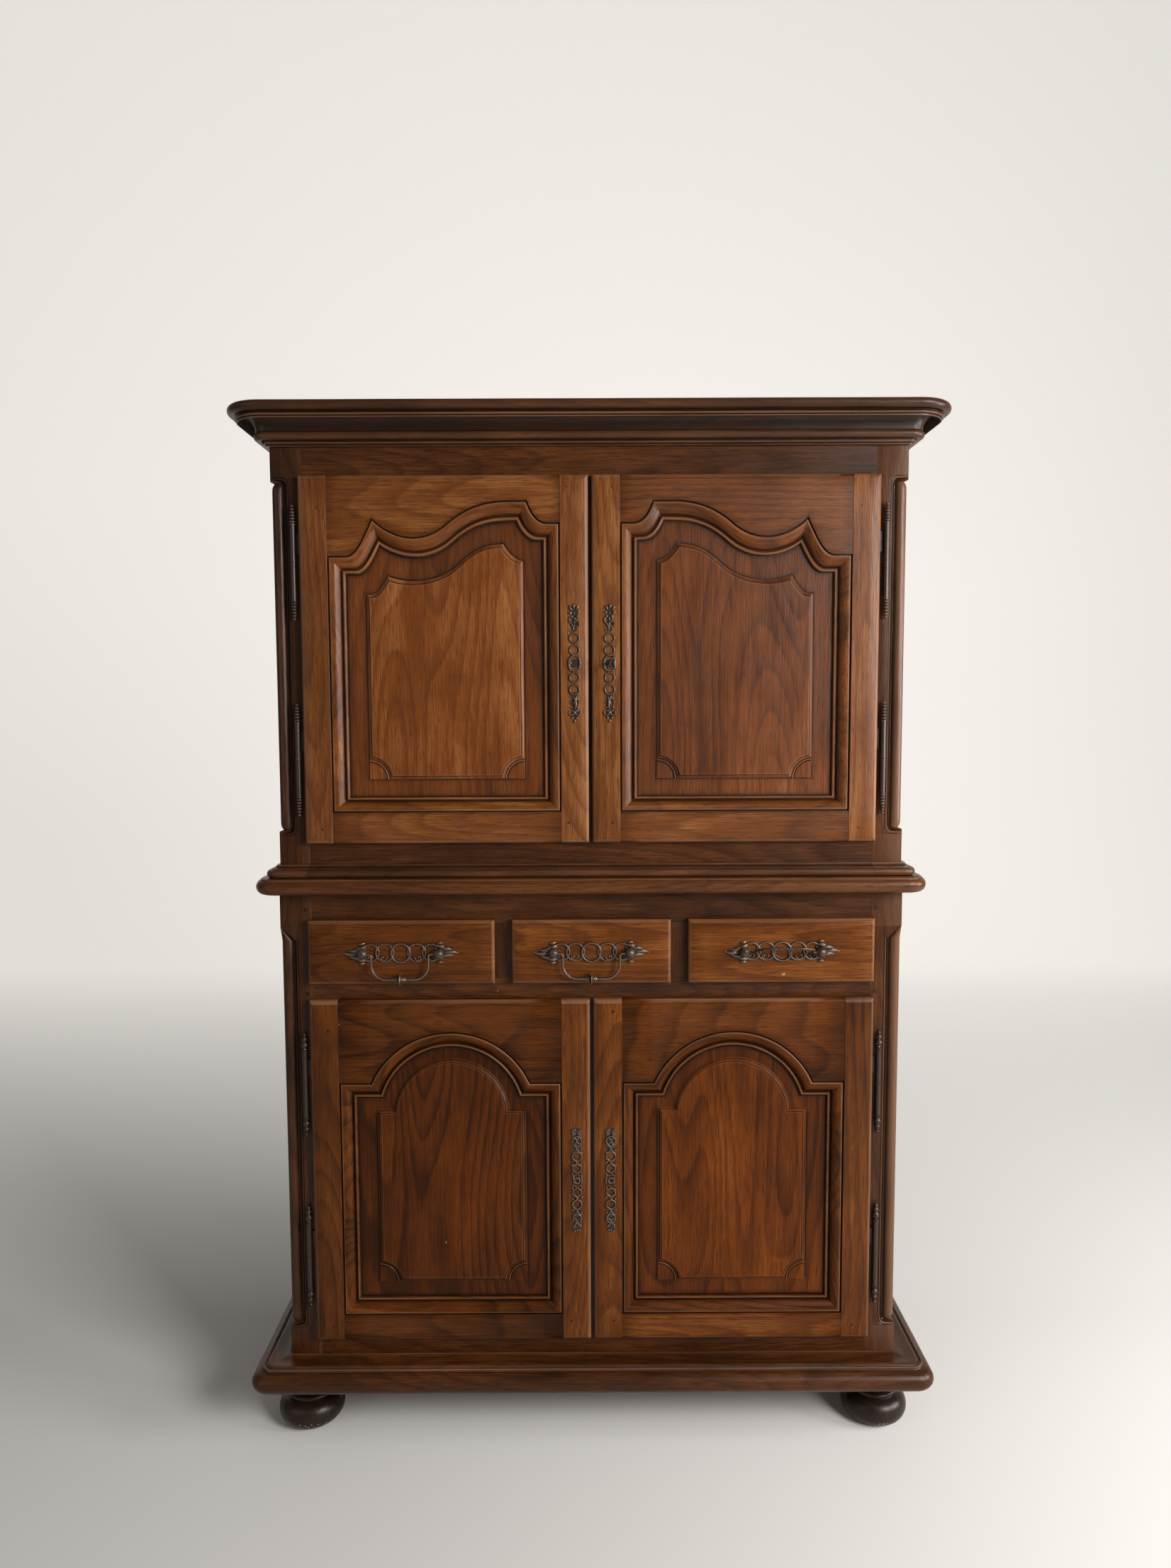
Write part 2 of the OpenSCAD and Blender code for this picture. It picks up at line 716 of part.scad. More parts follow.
function lower_top(side_in, top_in) =
    let (shoulder_y = arch_centre[1] + shoulder_up - top_in,
        a = asin((shoulder_up - top_in) / (arch_r - top_in)))
    concat(
        [[lower_stile_w + side_in, shoulder_y]],
        arc(arch_centre, arch_r - top_in, 180 - a, a, 20),
        [[lower_door_w - lower_stile_w - side_in, shoulder_y]]);

function lower_opening(d) = concat(
    lower_top(d, d),
    [[lower_door_w - lower_stile_w - d, lower_rail_h + d], [lower_stile_w + d, lower_rail_h + d]]);

function lower_field(e) =
    let (side_in = 76, foot_y = lower_rail_h + 68, left = lower_stile_w + side_in,
        cut = asin(e / (notch_r + e)))
    concat(
        lower_top(side_in + e, 60 + e),
        arc([lower_door_w - left, foot_y], notch_r + e, 90 + cut, 180 - cut, 8),
        arc([left, foot_y], notch_r + e, cut, 90 - cut, 8));

// Section of the moulding round the panels: distance in from the opening, height over its back
function mould_section() =
    let (h = border_deep, w = mould_w)
    [[0, 0], [0, h - 2.5], [3, h - 2.5], [4, h - 0.7], [w * 0.3, h - 1], [w * 0.5, h - 3.5],
        [w * 0.68, h - 8], [w * 0.76, h - 12.5], [w * 0.82, h - 13], [w * 0.9, h - 10.5],
        [w - 1, h - 11.5], [w, h - 14], [w, 0]];

// Joins rings of points, each a list of the same length: into a closed tube, or into a plug whose
// two ends are fans of triangles about a middle point
module ring_solid(rings, middle = undef) {
    n = len(rings[0]);
    m = len(rings);
    closed = is_undef(middle);
    ends = closed ? [] : [for (r = [rings[0], rings[m - 1]]) [middle[0], middle[1], r[0][2]]];
    walls = [for (k = [0 : closed ? m - 1 : m - 2], i = [0 : n - 1])
        let (j = (i + 1) % n, l = (k + 1) % m)
        each [[k * n + i, k * n + j, l * n + j], [k * n + i, l * n + j, l * n + i]]];
    fans = closed ? [] : [for (i = [0 : n - 1])
        let (j = (i + 1) % n, top = (m - 1) * n)
        each [[j, i, m * n], [top + i, top + j, m * n + 1]]];
    polyhedron(points = concat([for (r = rings) each r], ends), faces = concat(walls, fans),
        convexity = 8);
}

// Door coordinates to the room: x from the hinge edge, y up, z from the frame plane outwards
module door_place(upper, side) {
    half = upper ? upper_doors_half : lower_doors_half;
    at_front() mirror([side < 0 ? 0 : 1, 0, 0])
        translate([-half, 0, upper ? udoor_z0 : ldoor_z0]) rotate([90, 0, 0]) children();
}

function opening(upper, d) = upper ? upper_opening(d) : lower_opening(d);
function field(upper, e) = upper ? upper_field(e) : lower_field(e);

// A quarter-round along the outer edges of a board of size w by h that stands p proud
module eased_slab(w, h, back, p) {
    intersection() {
        rotate([0, 90, 0]) rotate([0, 0, 90]) linear_extrude(w) eased_section(h, back, p);
        rotate([90, 0, 0]) mirror([0, 0, 1]) linear_extrude(h) eased_section(w, back, p);
    }
}

module eased_section(w, back, p) {
    translate([0, back]) square([w, p - back - edge_r]);
    translate([edge_r, p - edge_r - 0.01]) square([w - 2 * edge_r, edge_r + 0.01]);
    for (x = [edge_r, w - edge_r]) translate([x, p - edge_r]) circle(edge_r);
}

function keyhole_x(upper, side) =
    (upper ? upper_door_w : lower_door_w) - (side < 0 ? left_key_in : right_key_in);
function keyhole_y(upper) = upper ? upper_key_z - udoor_z0 : lower_key_z - ldoor_z0;

module keyhole(upper, side, r) {
    translate([keyhole_x(upper, side), keyhole_y(upper)]) {
        circle(r, $fn = 24);
        translate([-1.5, -r - 7]) square([3, r + 7]);
    }
}

// Stiles, rails and mitred moulding of one door
module door_frame(upper, side) {
    w = upper ? upper_door_w : lower_door_w;
    h = upper ? udoor_z1 - udoor_z0 : ldoor_z1 - ldoor_z0;
    lap = upper ? upper_lap : lower_lap;
    barrel = upper ? upper_barrel : lower_barrel;
    hinge_in = upper ? upper_hinge_in : lower_hinge_in;
    left = opening(upper, 0)[0][0];
    right = opening(upper, 0)[len(opening(upper, 0)) - 2][0];
    foot = opening(upper, 0)[len(opening(upper, 0)) - 1][1];
    top = foot + 60;
    color(door_brown) door_place(upper, side) {
        difference() {
            union() {
                eased_slab(w, h, run_gap, face_proud);
                box([lap + inset_gap, lip + inset_gap, -door_back],
                    [w - inset_meet, h - lip - inset_gap, face_proud / 2]);
            }
            translate([0, 0, -door_back - 1]) linear_extrude(door_back + face_proud + 2)
                polygon(opening(upper, 0));
            translate([0, 0, -door_back - 1]) linear_extrude(door_back + face_proud + 2)
                keyhole(upper, side, key_r + 0.8);
            for (x = [left, right]) translate([x - 0.05, -1, -door_back - 1])
                cube([0.1, h + 2, door_back + face_proud + 2]);
            for (z = [hinge_in, h - hinge_in])
                box([-1, z + barrel / 4 - pin_gap, hinge_proud - leaf_t / 2 - pin_gap],
                    [leaf_in + pin_gap, z + barrel + pin_gap, hinge_proud + leaf_t / 2 + pin_gap]);
        }
        ring_solid([for (p = mould_section())
            [for (q = opening(upper, p[0])) [q[0], q[1], face_proud - border_deep + p[1]]]]);
    }
}

// The panel: a flat board behind the moulding with a raised, bevelled field
module door_panel(upper, side) {
    front = face_proud - border_deep;
    middle = upper ? [upper_door_w / 2, 300] : [lower_door_w / 2, 300];
    color(panel_brown) door_place(upper, side) {
        translate([0, 0, front - panel_t]) linear_extrude(panel_t) polygon(opening(upper, run_gap));
        ring_solid([
            [for (q = field(upper, 0)) [q[0], q[1], front - 1]],
            [for (q = field(upper, 0)) [q[0], q[1], front + 1.5]],
            [for (q = field(upper, field_bevel)) [q[0], q[1], front + field_rise]]], middle);
    }
}

// A pierced plate of rings with a leaf at each end, round the keyhole
module escutcheon(upper, side) {
    len_ = upper ? upper_plate_len : lower_plate_len;
    ring_r = plate_w / 2 - 1.5;
    step = 1.95 * ring_r;
    reach = len_ / 2;
    color(iron) door_place(upper, side) translate([0, 0, face_proud]) linear_extrude(plate_t)
        difference() {
            translate([keyhole_x(upper, side), keyhole_y(upper)]) {
                translate([-ring_r, -18]) square([2 * ring_r, 36]);
                for (end = [-1, 1]) {
                    for (i = [0, 1]) translate([0, end * (18 + step * (i + 0.5) - 1)]) difference() {
                        circle(ring_r);
                        circle(ring_r - 3.5);
                    }
                    leaf_y = 18 + 2 * step - 3;
                    polygon([[-4, end * leaf_y], [4, end * leaf_y], [9, end * (leaf_y + 12)],
                        [ring_r, end * (leaf_y + 24)], [8, end * (reach - 16)], [10, end * (reach - 8)],
                        [4, end * reach], [-4, end * reach], [-10, end * (reach - 8)],
                        [-8, end * (reach - 16)], [-ring_r, end * (leaf_y + 24)],
                        [-9, end * (leaf_y + 12)]]);
                }
            }
            keyhole(upper, side, key_r + 0.8);
        }
}

// The lock's case is screwed to the back of the meeting stile; y runs into the cupboard
bolt_y = door_back + lock_t - lock_wall - run_gap - bolt_t;
lock_edge = inset_meet + 1;

module lock_case(upper, side) {
    w = upper ? upper_door_w : lower_door_w;
    x1 = w - lock_edge;
    x0 = x1 - lock_w;
    z = keyhole_y(upper);
    wall = lock_wall;
    color(iron) door_place(upper, side) difference() {
        box([x0, z - lock_h / 2, -door_back - lock_t], [x1, z + lock_h / 2, -door_back]);
        box([x0 + wall, z - lock_h / 2 + wall, -door_back - lock_t + wall],
            [x1 - wall, z + lock_h / 2 - wall, -door_back - wall]);
        box([x1 - 2 * wall, z - bolt_h / 2 - run_gap, -bolt_y - bolt_t - run_gap],
            [x1 + 1, z + bolt_h / 2 + run_gap, -bolt_y + run_gap]);
        translate([0, 0, -door_back - 2 * wall]) linear_extrude(3 * wall)
            keyhole(upper, side, key_r + 0.8);
    }
}

module lock_bolt(upper, side) {
    w = upper ? upper_door_w : lower_door_w;
    x1 = w - lock_edge;
    z = keyhole_y(upper);
    color(iron) door_place(upper, side)
        box([x1 - lock_w + 2 * lock_wall + run_gap, z - bolt_h / 2, -bolt_y - bolt_t],
            [x1, z + bolt_h / 2, -bolt_y]);
}

// The key stands in the upper right lock, its bit inside the case
module door_key() {
    tip = -bolt_y + 0.5;
    out = face_proud + plate_t + key_out;
    bow_w = bow_h * 0.62;
    ring = bow_w / 2;
    color(iron) door_place(true, 1) translate([keyhole_x(true, 1), keyhole_y(true), 0]) {
        translate([0, 0, tip]) cylinder(r = key_r, h = out - bow_w - tip + 1);
        box([-1.2, -bit_r, tip], [1.2, 0, tip + 4]);
        translate([0, 0, face_proud + plate_t + 6]) cylinder(r = key_r + 1.5, h = 3);
        rotate([0, 0, bow_turn]) for (end = [-1, 1])
            translate([0, end * (bow_h / 2 - ring), out - ring]) rotate([0, 90, 0])
                rotate([0, 0, end > 0 ? 0 : 180]) rotate_extrude(angle = 180) translate([ring - 1.8, 0])
                    circle(1.8, $fn = 24);
        rotate([0, 0, bow_turn]) for (x = [-1, 1])
            translate([0, bow_h / 2 - ring, out - ring + x * (ring - 1.8)]) rotate([90, 0, 0])
                cylinder(r = 1.8, h = bow_h - 2 * ring, $fn = 24);
    }
}

// Drawer coordinates: x from the middle of the front, y up from its foot, z outwards
module drawer_place(x) {
    at_front() translate([x, 0, drawer_z0]) rotate([90, 0, 0]) children();
}

module drawer_front(x, w) {
    color(door_brown) drawer_place(x) {
        translate([-w / 2, 0, 0]) eased_slab(w, drawer_h, run_gap, face_proud);
        box([-w / 2 + box_in, lip + run_gap, -front_inner_t],
            [w / 2 - box_in, lip + run_gap + box_h, face_proud / 2]);
    }
}

module drawer_box(x, w) {
    x1 = w / 2 - box_in;
    y0 = lip + run_gap;
    y1 = y0 + box_h;
    far = -front_inner_t - drawer_len;
    color(inside_brown) drawer_place(x) {
        for (side = [-1, 1]) mirror([side < 0 ? 1 : 0, 0, 0]) difference() {
            box([x1 - drawer_side_t, y0, far], [x1, y1, -front_inner_t]);
            box([x1 - drawer_side_t - 1, y0 + 8, far - 1],
                [x1 - drawer_side_t + 5, y0 + 8 + drawer_bottom_t, -front_inner_t + 1]);
        }
        box([-x1 + drawer_side_t, y0 + 8 + drawer_bottom_t, far],
            [x1 - drawer_side_t, y1 - 6, far + drawer_side_t]);
        box([-x1 + drawer_side_t - 5, y0 + 8, far],
            [x1 - drawer_side_t + 5, y0 + 8 + drawer_bottom_t, -front_inner_t]);
    }
}

// The pull's plate: five rings in a row, a pointed leaf at each end and two bored bosses
module pull_plate(x) {
    ring_r = pull_h / 2;
    side_r = ring_r * 0.9;
    reach = pull_len / 2;
    color(iron) drawer_place(x) translate([0, drawer_h / 2, face_proud]) {
        linear_extrude(plate_t) {
            difference() {
                circle(ring_r);
                circle(ring_r - 4);
            }
            for (i = [-2, -1, 1, 2]) translate([i * 31, 0]) difference() {
                scale_ring(side_r);
                scale_ring(side_r - 4);
            }
            for (end = [-1, 1]) polygon([[end * 64, -19], [end * 64, 19], [end * 86, 17],
                [end * 100, 12], [end * 108, 8], [end * (reach - 3), 2], [end * reach, 0],
                [end * (reach - 3), -2], [end * 108, -8], [end * 100, -12], [end * 86, -17]]);
            square([pull_len * 0.6, 5], center = true);
        }
        for (end = [-1, 1]) difference() {
            intersection() {
                translate([end * boss_x, 0, pivot_out - 3]) sphere(boss_r);
                translate([end * boss_x - boss_r, -boss_r, 0]) cube([2 * boss_r, 2 * boss_r, 40]);
            }
            translate([end * (boss_x - boss_r - 2), 0, pivot_out]) rotate([0, end * 90, 0])
                cylinder(r = pin_hole, h = boss_r + 1.5);
        }
    }
}

module scale_ring(r) {
    intersection() {
        circle(r);
        square([2 * min(r, 17), 2 * r], center = true);
    }
}

pin_hole = bail_r + pin_gap;

// Half the outline of the turned disc in the middle of a bail
module bail_disc() {
    steps = [[0.4, 9], [1.8, 7], [1.8, 5.5], [0.6, 4.5], [2.4, 3]];
    polygon(concat(
        [[0, -9]], [for (p = steps) [bail_r + p[0], -p[1]]],
        [[disc_r - 0.5, -0.9], [disc_r, 0], [disc_r - 0.5, 0.9]],
        [for (i = [len(steps) - 1 : -1 : 0])
            [bail_r + steps[i][0], steps[i][1]]], [[0, 9]]));
}

// A round bar bent to a U with a disc in its middle, its ends turned out into the bosses
module bail(x, angle) {
    top_bend = 5;
    color(iron) drawer_place(x) translate([0, drawer_h / 2, face_proud + pivot_out])
        rotate([-angle, 0, 0]) {
            both_sides() {
                translate([bail_x + top_bend, 0, 0]) rotate([0, 90, 0])
                    cylinder(r = bail_r, h = boss_x - bail_x - top_bend - 1.5);
                translate([bail_x + top_bend, -top_bend, 0]) rotate([0, 0, 90])
                    rotate_extrude(angle = 90) translate([top_bend, 0]) circle(bail_r, $fn = 24);
                translate([bail_x, -top_bend, 0]) rotate([90, 0, 0])
                    cylinder(r = bail_r, h = bail_drop - bail_bend - top_bend);
                translate([bail_x - bail_bend, bail_bend - bail_drop, 0]) rotate([0, 0, -90])
                    rotate_extrude(angle = 90) translate([bail_bend, 0]) circle(bail_r, $fn = 24);
            }
            translate([-bail_x + bail_bend, -bail_drop, 0]) rotate([0, 90, 0])
                cylinder(r = bail_r, h = 2 * (bail_x - bail_bend));
            translate([0, -bail_drop, 0]) rotate([0, 90, 0]) rotate_extrude() bail_disc();
        }
}

bun_feet();
plinth_moulding();
lower_posts();
lower_centre_post();
lower_front_rails();
drawer_dividers();
lower_side_rails();
lower_side_panels();
lower_back_boards();
lower_boards();
drawer_runners();
counter_top();
waist_moulding();
upper_posts();
upper_centre_post();
upper_front_rails();
upper_side_rails();
upper_side_panels();
upper_back_boards();
upper_boards();
cornice();
hinge_pintles();
door_frame(true, -1);  // upper_left_door_frame
door_panel(true, -1);  // upper_left_door_panel
knuckles(-1, true);  // upper_left_hinge_knuckles
escutcheon(true, -1);  // upper_left_escutcheon
lock_case(true, -1);  // upper_left_lock_case
lock_bolt(true, -1);  // upper_left_bolt
door_frame(true, 1);  // upper_right_door_frame
door_panel(true, 1);  // upper_right_door_panel
knuckles(1, true);  // upper_right_hinge_knuckles
escutcheon(true, 1);  // upper_right_escutcheon
lock_case(true, 1);  // upper_right_lock_case
lock_bolt(true, 1);  // upper_right_bolt
door_frame(false, -1);  // lower_left_door_frame
door_panel(false, -1);  // lower_left_door_panel
knuckles(-1, false);  // lower_left_hinge_knuckles
escutcheon(false, -1);  // lower_left_escutcheon
lock_case(false, -1);  // lower_left_lock_case
lock_bolt(false, -1);  // lower_left_bolt
door_frame(false, 1);  // lower_right_door_frame
door_panel(false, 1);  // lower_right_door_panel
knuckles(1, false);  // lower_right_hinge_knuckles
escutcheon(false, 1);  // lower_right_escutcheon
lock_case(false, 1);  // lower_right_lock_case
lock_bolt(false, 1);  // lower_right_bolt
drawer_front(-side_drawer_x, side_drawer_w);  // left_drawer_front
drawer_box(-side_drawer_x, side_drawer_w);  // left_drawer_box
pull_plate(-side_drawer_x);  // left_pull_plate
bail(-side_drawer_x, 0);  // left_bail
drawer_front(0, mid_drawer_w);  // middle_drawer_front
drawer_box(0, mid_drawer_w);  // middle_drawer_box
pull_plate(0);  // middle_pull_plate
bail(0, 0);  // middle_bail
drawer_front(side_drawer_x, side_drawer_w);  // right_drawer_front
drawer_box(side_drawer_x, side_drawer_w);  // right_drawer_box
pull_plate(side_drawer_x);  // right_pull_plate
bail(side_drawer_x, stand_angle);  // right_bail
door_key();
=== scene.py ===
import math

import bpy
import numpy as np
from mathutils import Matrix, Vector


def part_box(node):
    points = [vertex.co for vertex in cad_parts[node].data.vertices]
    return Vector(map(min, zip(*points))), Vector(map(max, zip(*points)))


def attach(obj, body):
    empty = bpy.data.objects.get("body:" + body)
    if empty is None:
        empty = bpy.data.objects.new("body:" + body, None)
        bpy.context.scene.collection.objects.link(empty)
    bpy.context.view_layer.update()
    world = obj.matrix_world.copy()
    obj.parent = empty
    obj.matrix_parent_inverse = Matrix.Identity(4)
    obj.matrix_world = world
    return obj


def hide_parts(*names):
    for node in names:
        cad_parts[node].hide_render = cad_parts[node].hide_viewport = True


bl_info = {
    "name": "Two-part buffet",
    "version": (1, 0, 0),
    "blender": (4, 5, 0),
    "location": "View3D > Sidebar > Buffet",
    "description": "Dresses the packed two-part buffet in carved wood and forged iron",
    "category": "Add Mesh",
}

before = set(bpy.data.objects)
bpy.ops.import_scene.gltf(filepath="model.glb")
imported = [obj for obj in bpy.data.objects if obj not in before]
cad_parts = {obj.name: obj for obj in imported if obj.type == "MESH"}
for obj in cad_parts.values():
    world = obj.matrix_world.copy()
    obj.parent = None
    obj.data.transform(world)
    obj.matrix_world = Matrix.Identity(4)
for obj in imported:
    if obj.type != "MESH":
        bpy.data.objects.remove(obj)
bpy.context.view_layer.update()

# Sizes are in millimetres: x to the right, y into the cabinet from the frames' face, z from the
# floor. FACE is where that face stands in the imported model.
MM = 0.001
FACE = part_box("upper_posts")[0].y
UPPER_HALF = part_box("upper_posts")[1].x / MM
LOWER_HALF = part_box("lower_posts")[1].x / MM
DEPTH = (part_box("lower_back_boards")[1].y - FACE) / MM
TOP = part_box("cornice")[1].z / MM
PLINTH_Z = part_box("plinth_moulding")[0].z / MM
COUNTER_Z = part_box("counter_top")[0].z / MM
WAIST_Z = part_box("waist_moulding")[0].z / MM
CORNICE_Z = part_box("cornice")[0].z / MM
# Middles of the front and rear feet
FOOT_X, FOOT_Y, REAR_FOOT_Y = 616, 36, 434
# Inner edge of the front posts, and how far doors and drawers stand out of the frames' face
POST_IN = 582.0
PROUD = 20.0

# The rounded band along the edge of a door or drawer: distance from the edge, how far it lies
# below the face, and wear. Everywhere, wear runs from 1, rubbed to the bare wood or iron and
# painted paler as a highlight, to -1, filled with dirt and painted darker as shade. The band's
# rounded edge is painted pale, a highlight, with a thin dark line near its inner side
EASE_IN = np.array([0, 0.35, 1.2, 2.6, 4.6, 6.6, 8.2, 8.9, 9.7])
EASE_UP = np.array([-8, -5.66, -3.9, -2.5, -1.3, -0.6, -0.3, -0.3, 0])
EASE_WEAR_AND_SHADING = np.array([0.2, 0.8, 0.8, 0.6, 0.45, 0.3, 0.1, -0.35, 0.2])

# Axes of the grain coordinates for fibres along x, y or z: that axis, then the two across
GRAIN_AXES = ((0, 2, 1), (1, 2, 0), (2, 0, 1))


def hex_colour(code):
    """An sRGB hex code as linear red, green, blue, alpha: c / 12.92 below 0.04045, and
    ((c + 0.055) / 1.055) ** 2.4 above."""
    c = np.array([int(code[i:i + 2], 16) for i in (1, 3, 5)]) / 255
    linear = np.where(c <= 0.04045, c / 12.92, ((c + 0.055) / 1.055) ** 2.4)
    return tuple(float(v) for v in linear) + (1.0,)


# ---------------------------------------------------------------- surfaces

def in_room(points):
    """Millimetres from the frames' face to the room's metres."""
    return points * MM + np.array([0, FACE, 0])


def door_room(half, foot, side):
    """Door coordinates (from the hinge edge, up, out of the frame) to the room."""
    def place(p):
        x = side * (half - p[:, 0])
        return in_room(np.stack([x, -p[:, 2], foot + p[:, 1]], 1))
    return place


def drawer_room(x, foot):
    """Drawer coordinates (from the middle, up, out of the frame) to the room."""
    def place(p):
        return in_room(np.stack([x + p[:, 0], -p[:, 2], foot + p[:, 1]], 1))
    return place


def bend(section):
    """How sharply each point of a closed section turns, as a share of a 3 mm round: turning
    angle over the mean length of its two edges. Ridges are positive and hollows negative."""
    before = section - np.roll(section, 1, 0)
    after = np.roll(section, -1, 0) - section
    turn = np.arctan2(before[:, 0] * after[:, 1] - before[:, 1] * after[:, 0],
                      (before * after).sum(1))
    length = (np.linalg.norm(before, axis=1) + np.linalg.norm(after, axis=1)) / 2
    sign = 1 if turn.sum() > 0 else -1
    return np.clip(sign * 3 * turn / np.maximum(length, 0.2), -1, 1)


def turned_wear_and_shading(profile):
    """Wear and dirt, with painted highlights and shade, along a turned profile of (radius, height):
    the bend of its outline, which the axis closes."""
    outline = np.concatenate([profile, [[0, profile[-1, 1]], [0, profile[0, 1]]]])
    return bend(outline)[:len(profile), None]


def grain_start(board):
    """Where in the tree a board's grain coordinates start, in metres: a place of its own."""
    return np.array([(board * 1.37) % 7, (board * 0.73) % 5, (board * 0.31) % 3])


def board_grain(points, along, board):
    """Grain coordinates in metres: along the fibres, then the two ways across."""
    return points[:, GRAIN_AXES[along]] * MM + grain_start(board)


class Skin:
    """Closed surfaces in millimetres, gathered into one mesh with their grain coordinates, tone
    and wear, which also carries painted highlights and shade. Each surface is turned outwards by
    the sign of its volume."""

    def __init__(self, place=in_room):
        self.place = place
        self.points, self.grain, self.edge, self.tone = [], [], [], []
        self.quads, self.caps = [], []
        self.count = 0

    def put(self, points, quads, caps, grain, edge=0.0, tone=0.0):
        """Adds one closed surface. Its volume is the sum of (a x b) . c over its triangles, and
        where that is negative all its faces are turned round."""
        room = self.place(points)
        a, b, c, d = (room[quads[:, i]] for i in range(4))
        volume = (np.cross(a, b) * c).sum() + (np.cross(a, c) * d).sum()
        for cap in caps:
            p = room[cap]
            volume += (np.cross(p[:1].repeat(len(p) - 2, 0), p[1:-1]) * p[2:]).sum()
        if volume < 0:
            quads = quads[:, ::-1]
            caps = [cap[::-1] for cap in caps]
        n = len(points)
        self.points.append(room)
        self.grain.append(grain)
        self.edge.append(np.broadcast_to(edge, n))
        self.tone.append(np.broadcast_to(tone, n))
        self.quads.append(quads + self.count)
        self.caps += [cap + self.count for cap in caps]
        self.count += n

    def tube(self, rows, along=0, board=0, tone=0.0, edge=0.0, closed=False, grain=None):
        """rows[k, i] is point i of closed section k. Neighbouring sections are joined by quads, and
        the first and last are capped unless the tube runs round into itself."""
        n, m = rows.shape[:2]
        ids = np.arange(n * m).reshape(n, m)
        wide = np.hstack([ids, ids[:, :1]])
        if closed:
            wide = np.vstack([wide, wide[:1]])
        quads = np.stack([wide[:-1, :-1], wide[:-1, 1:], wide[1:, 1:], wide[1:, :-1]], -1)
        points = rows.reshape(-1, 3)
        if grain is None:
            grain = board_grain(points, along, board)
        edge = np.broadcast_to(edge, (n, m)).reshape(-1)
        tone = np.broadcast_to(tone, (n, m)).reshape(-1)
        caps = [] if closed else [ids[0][::-1], ids[-1]]
        self.put(points, quads.reshape(-1, 4), caps, grain, edge, tone)

    def relief(self, us, vs, out, back, along=0, board=0, tone=0.0, edge=0.0):
        """A face out[j, i] above the points (us[j, i], vs[j, i]), with walls to a flat back."""
        n, m = out.shape
        front = np.stack([us, vs, out], -1)
        rim = np.concatenate([front[0, :-1], front[:-1, -1], front[-1, :0:-1], front[:0:-1, 0]])
        foot = rim.copy()
        foot[:, 2] = back
        ids = np.arange(n * m).reshape(n, m)
        edge_ids = np.concatenate([ids[0, :-1], ids[:-1, -1], ids[-1, :0:-1], ids[:0:-1, 0]])
        foot_ids = n * m + np.arange(len(rim))
        quads = np.stack([ids[:-1, :-1], ids[:-1, 1:], ids[1:, 1:], ids[1:, :-1]], -1)
        after, foot_after = np.roll(edge_ids, -1), np.roll(foot_ids, -1)
        walls = np.stack([after, edge_ids, foot_ids, foot_after], -1)
        points = np.concatenate([front.reshape(-1, 3), foot])
        whole = np.concatenate([np.broadcast_to(edge, (n, m)).reshape(-1), np.zeros(len(rim))])
        self.put(points, np.concatenate([quads.reshape(-1, 4), walls]), [foot_ids[::-1]],
                 board_grain(points, along, board), whole, tone)

    def timber(self, low, high, along=0, ease=1.2, board=0, tone=0.0, edge=0.35):
        """A board with eased edges: a rectangle with rounded corners, drawn in by the same
        quarter-round at both ends."""
        low, high = np.array(low, float), np.array(high, float)
        a, b = [k for k in range(3) if k != along]
        centre, halves = (low + high) / 2, (high - low) / 2
        angles = np.radians(np.arange(0, 360, 90)[:, None] + np.array([0, 30, 60, 90])).ravel()
        signs = np.repeat([[1, 1], [-1, 1], [-1, -1], [1, -1]], 4, 0)
        steps = [(0, ease), (0.13 * ease, 0.5 * ease), (0.5 * ease, 0.13 * ease), (ease, 0)]
        length = 2 * halves[along]
        cuts = steps + [(run, 0) for run in np.linspace(ease, length - ease, 6)[1:-1]]
        cuts += [(length - run, inset) for run, inset in steps[::-1]]
        rows = np.zeros((len(cuts), 16, 3))
        for k, (run, inset) in enumerate(cuts):
            r = max(ease - inset, 0.02)
            rows[k, :, along] = low[along] + run
            rows[k, :, a] = centre[a] + signs[:, 0] * (halves[a] - inset - r) + r * np.cos(angles)
            rows[k, :, b] = centre[b] + signs[:, 1] * (halves[b] - inset - r) + r * np.sin(angles)
        self.tube(rows, along, board, tone, edge)

    def turned(self, profile, base, axis=2, steps=32, board=0, tone=0.0, edge=None, start=0.0):
        """A profile (radius, height) turned about an axis through base: base + radius (cos a,
        sin a) across the axis + height along it."""
        profile = np.array(profile, float)
        a = np.linspace(0, 2 * math.pi, steps, endpoint=False) + start
        across = [k for k in range(3) if k != axis]
        rows = np.zeros((len(profile), steps, 3))
        rows[..., across[0]] = base[across[0]] + profile[:, :1] * np.cos(a)
        rows[..., across[1]] = base[across[1]] + profile[:, :1] * np.sin(a)
        rows[..., axis] = base[axis] + profile[:, 1:]
        self.tube(rows, axis, board, tone, turned_wear_and_shading(profile) if edge is None else edge)

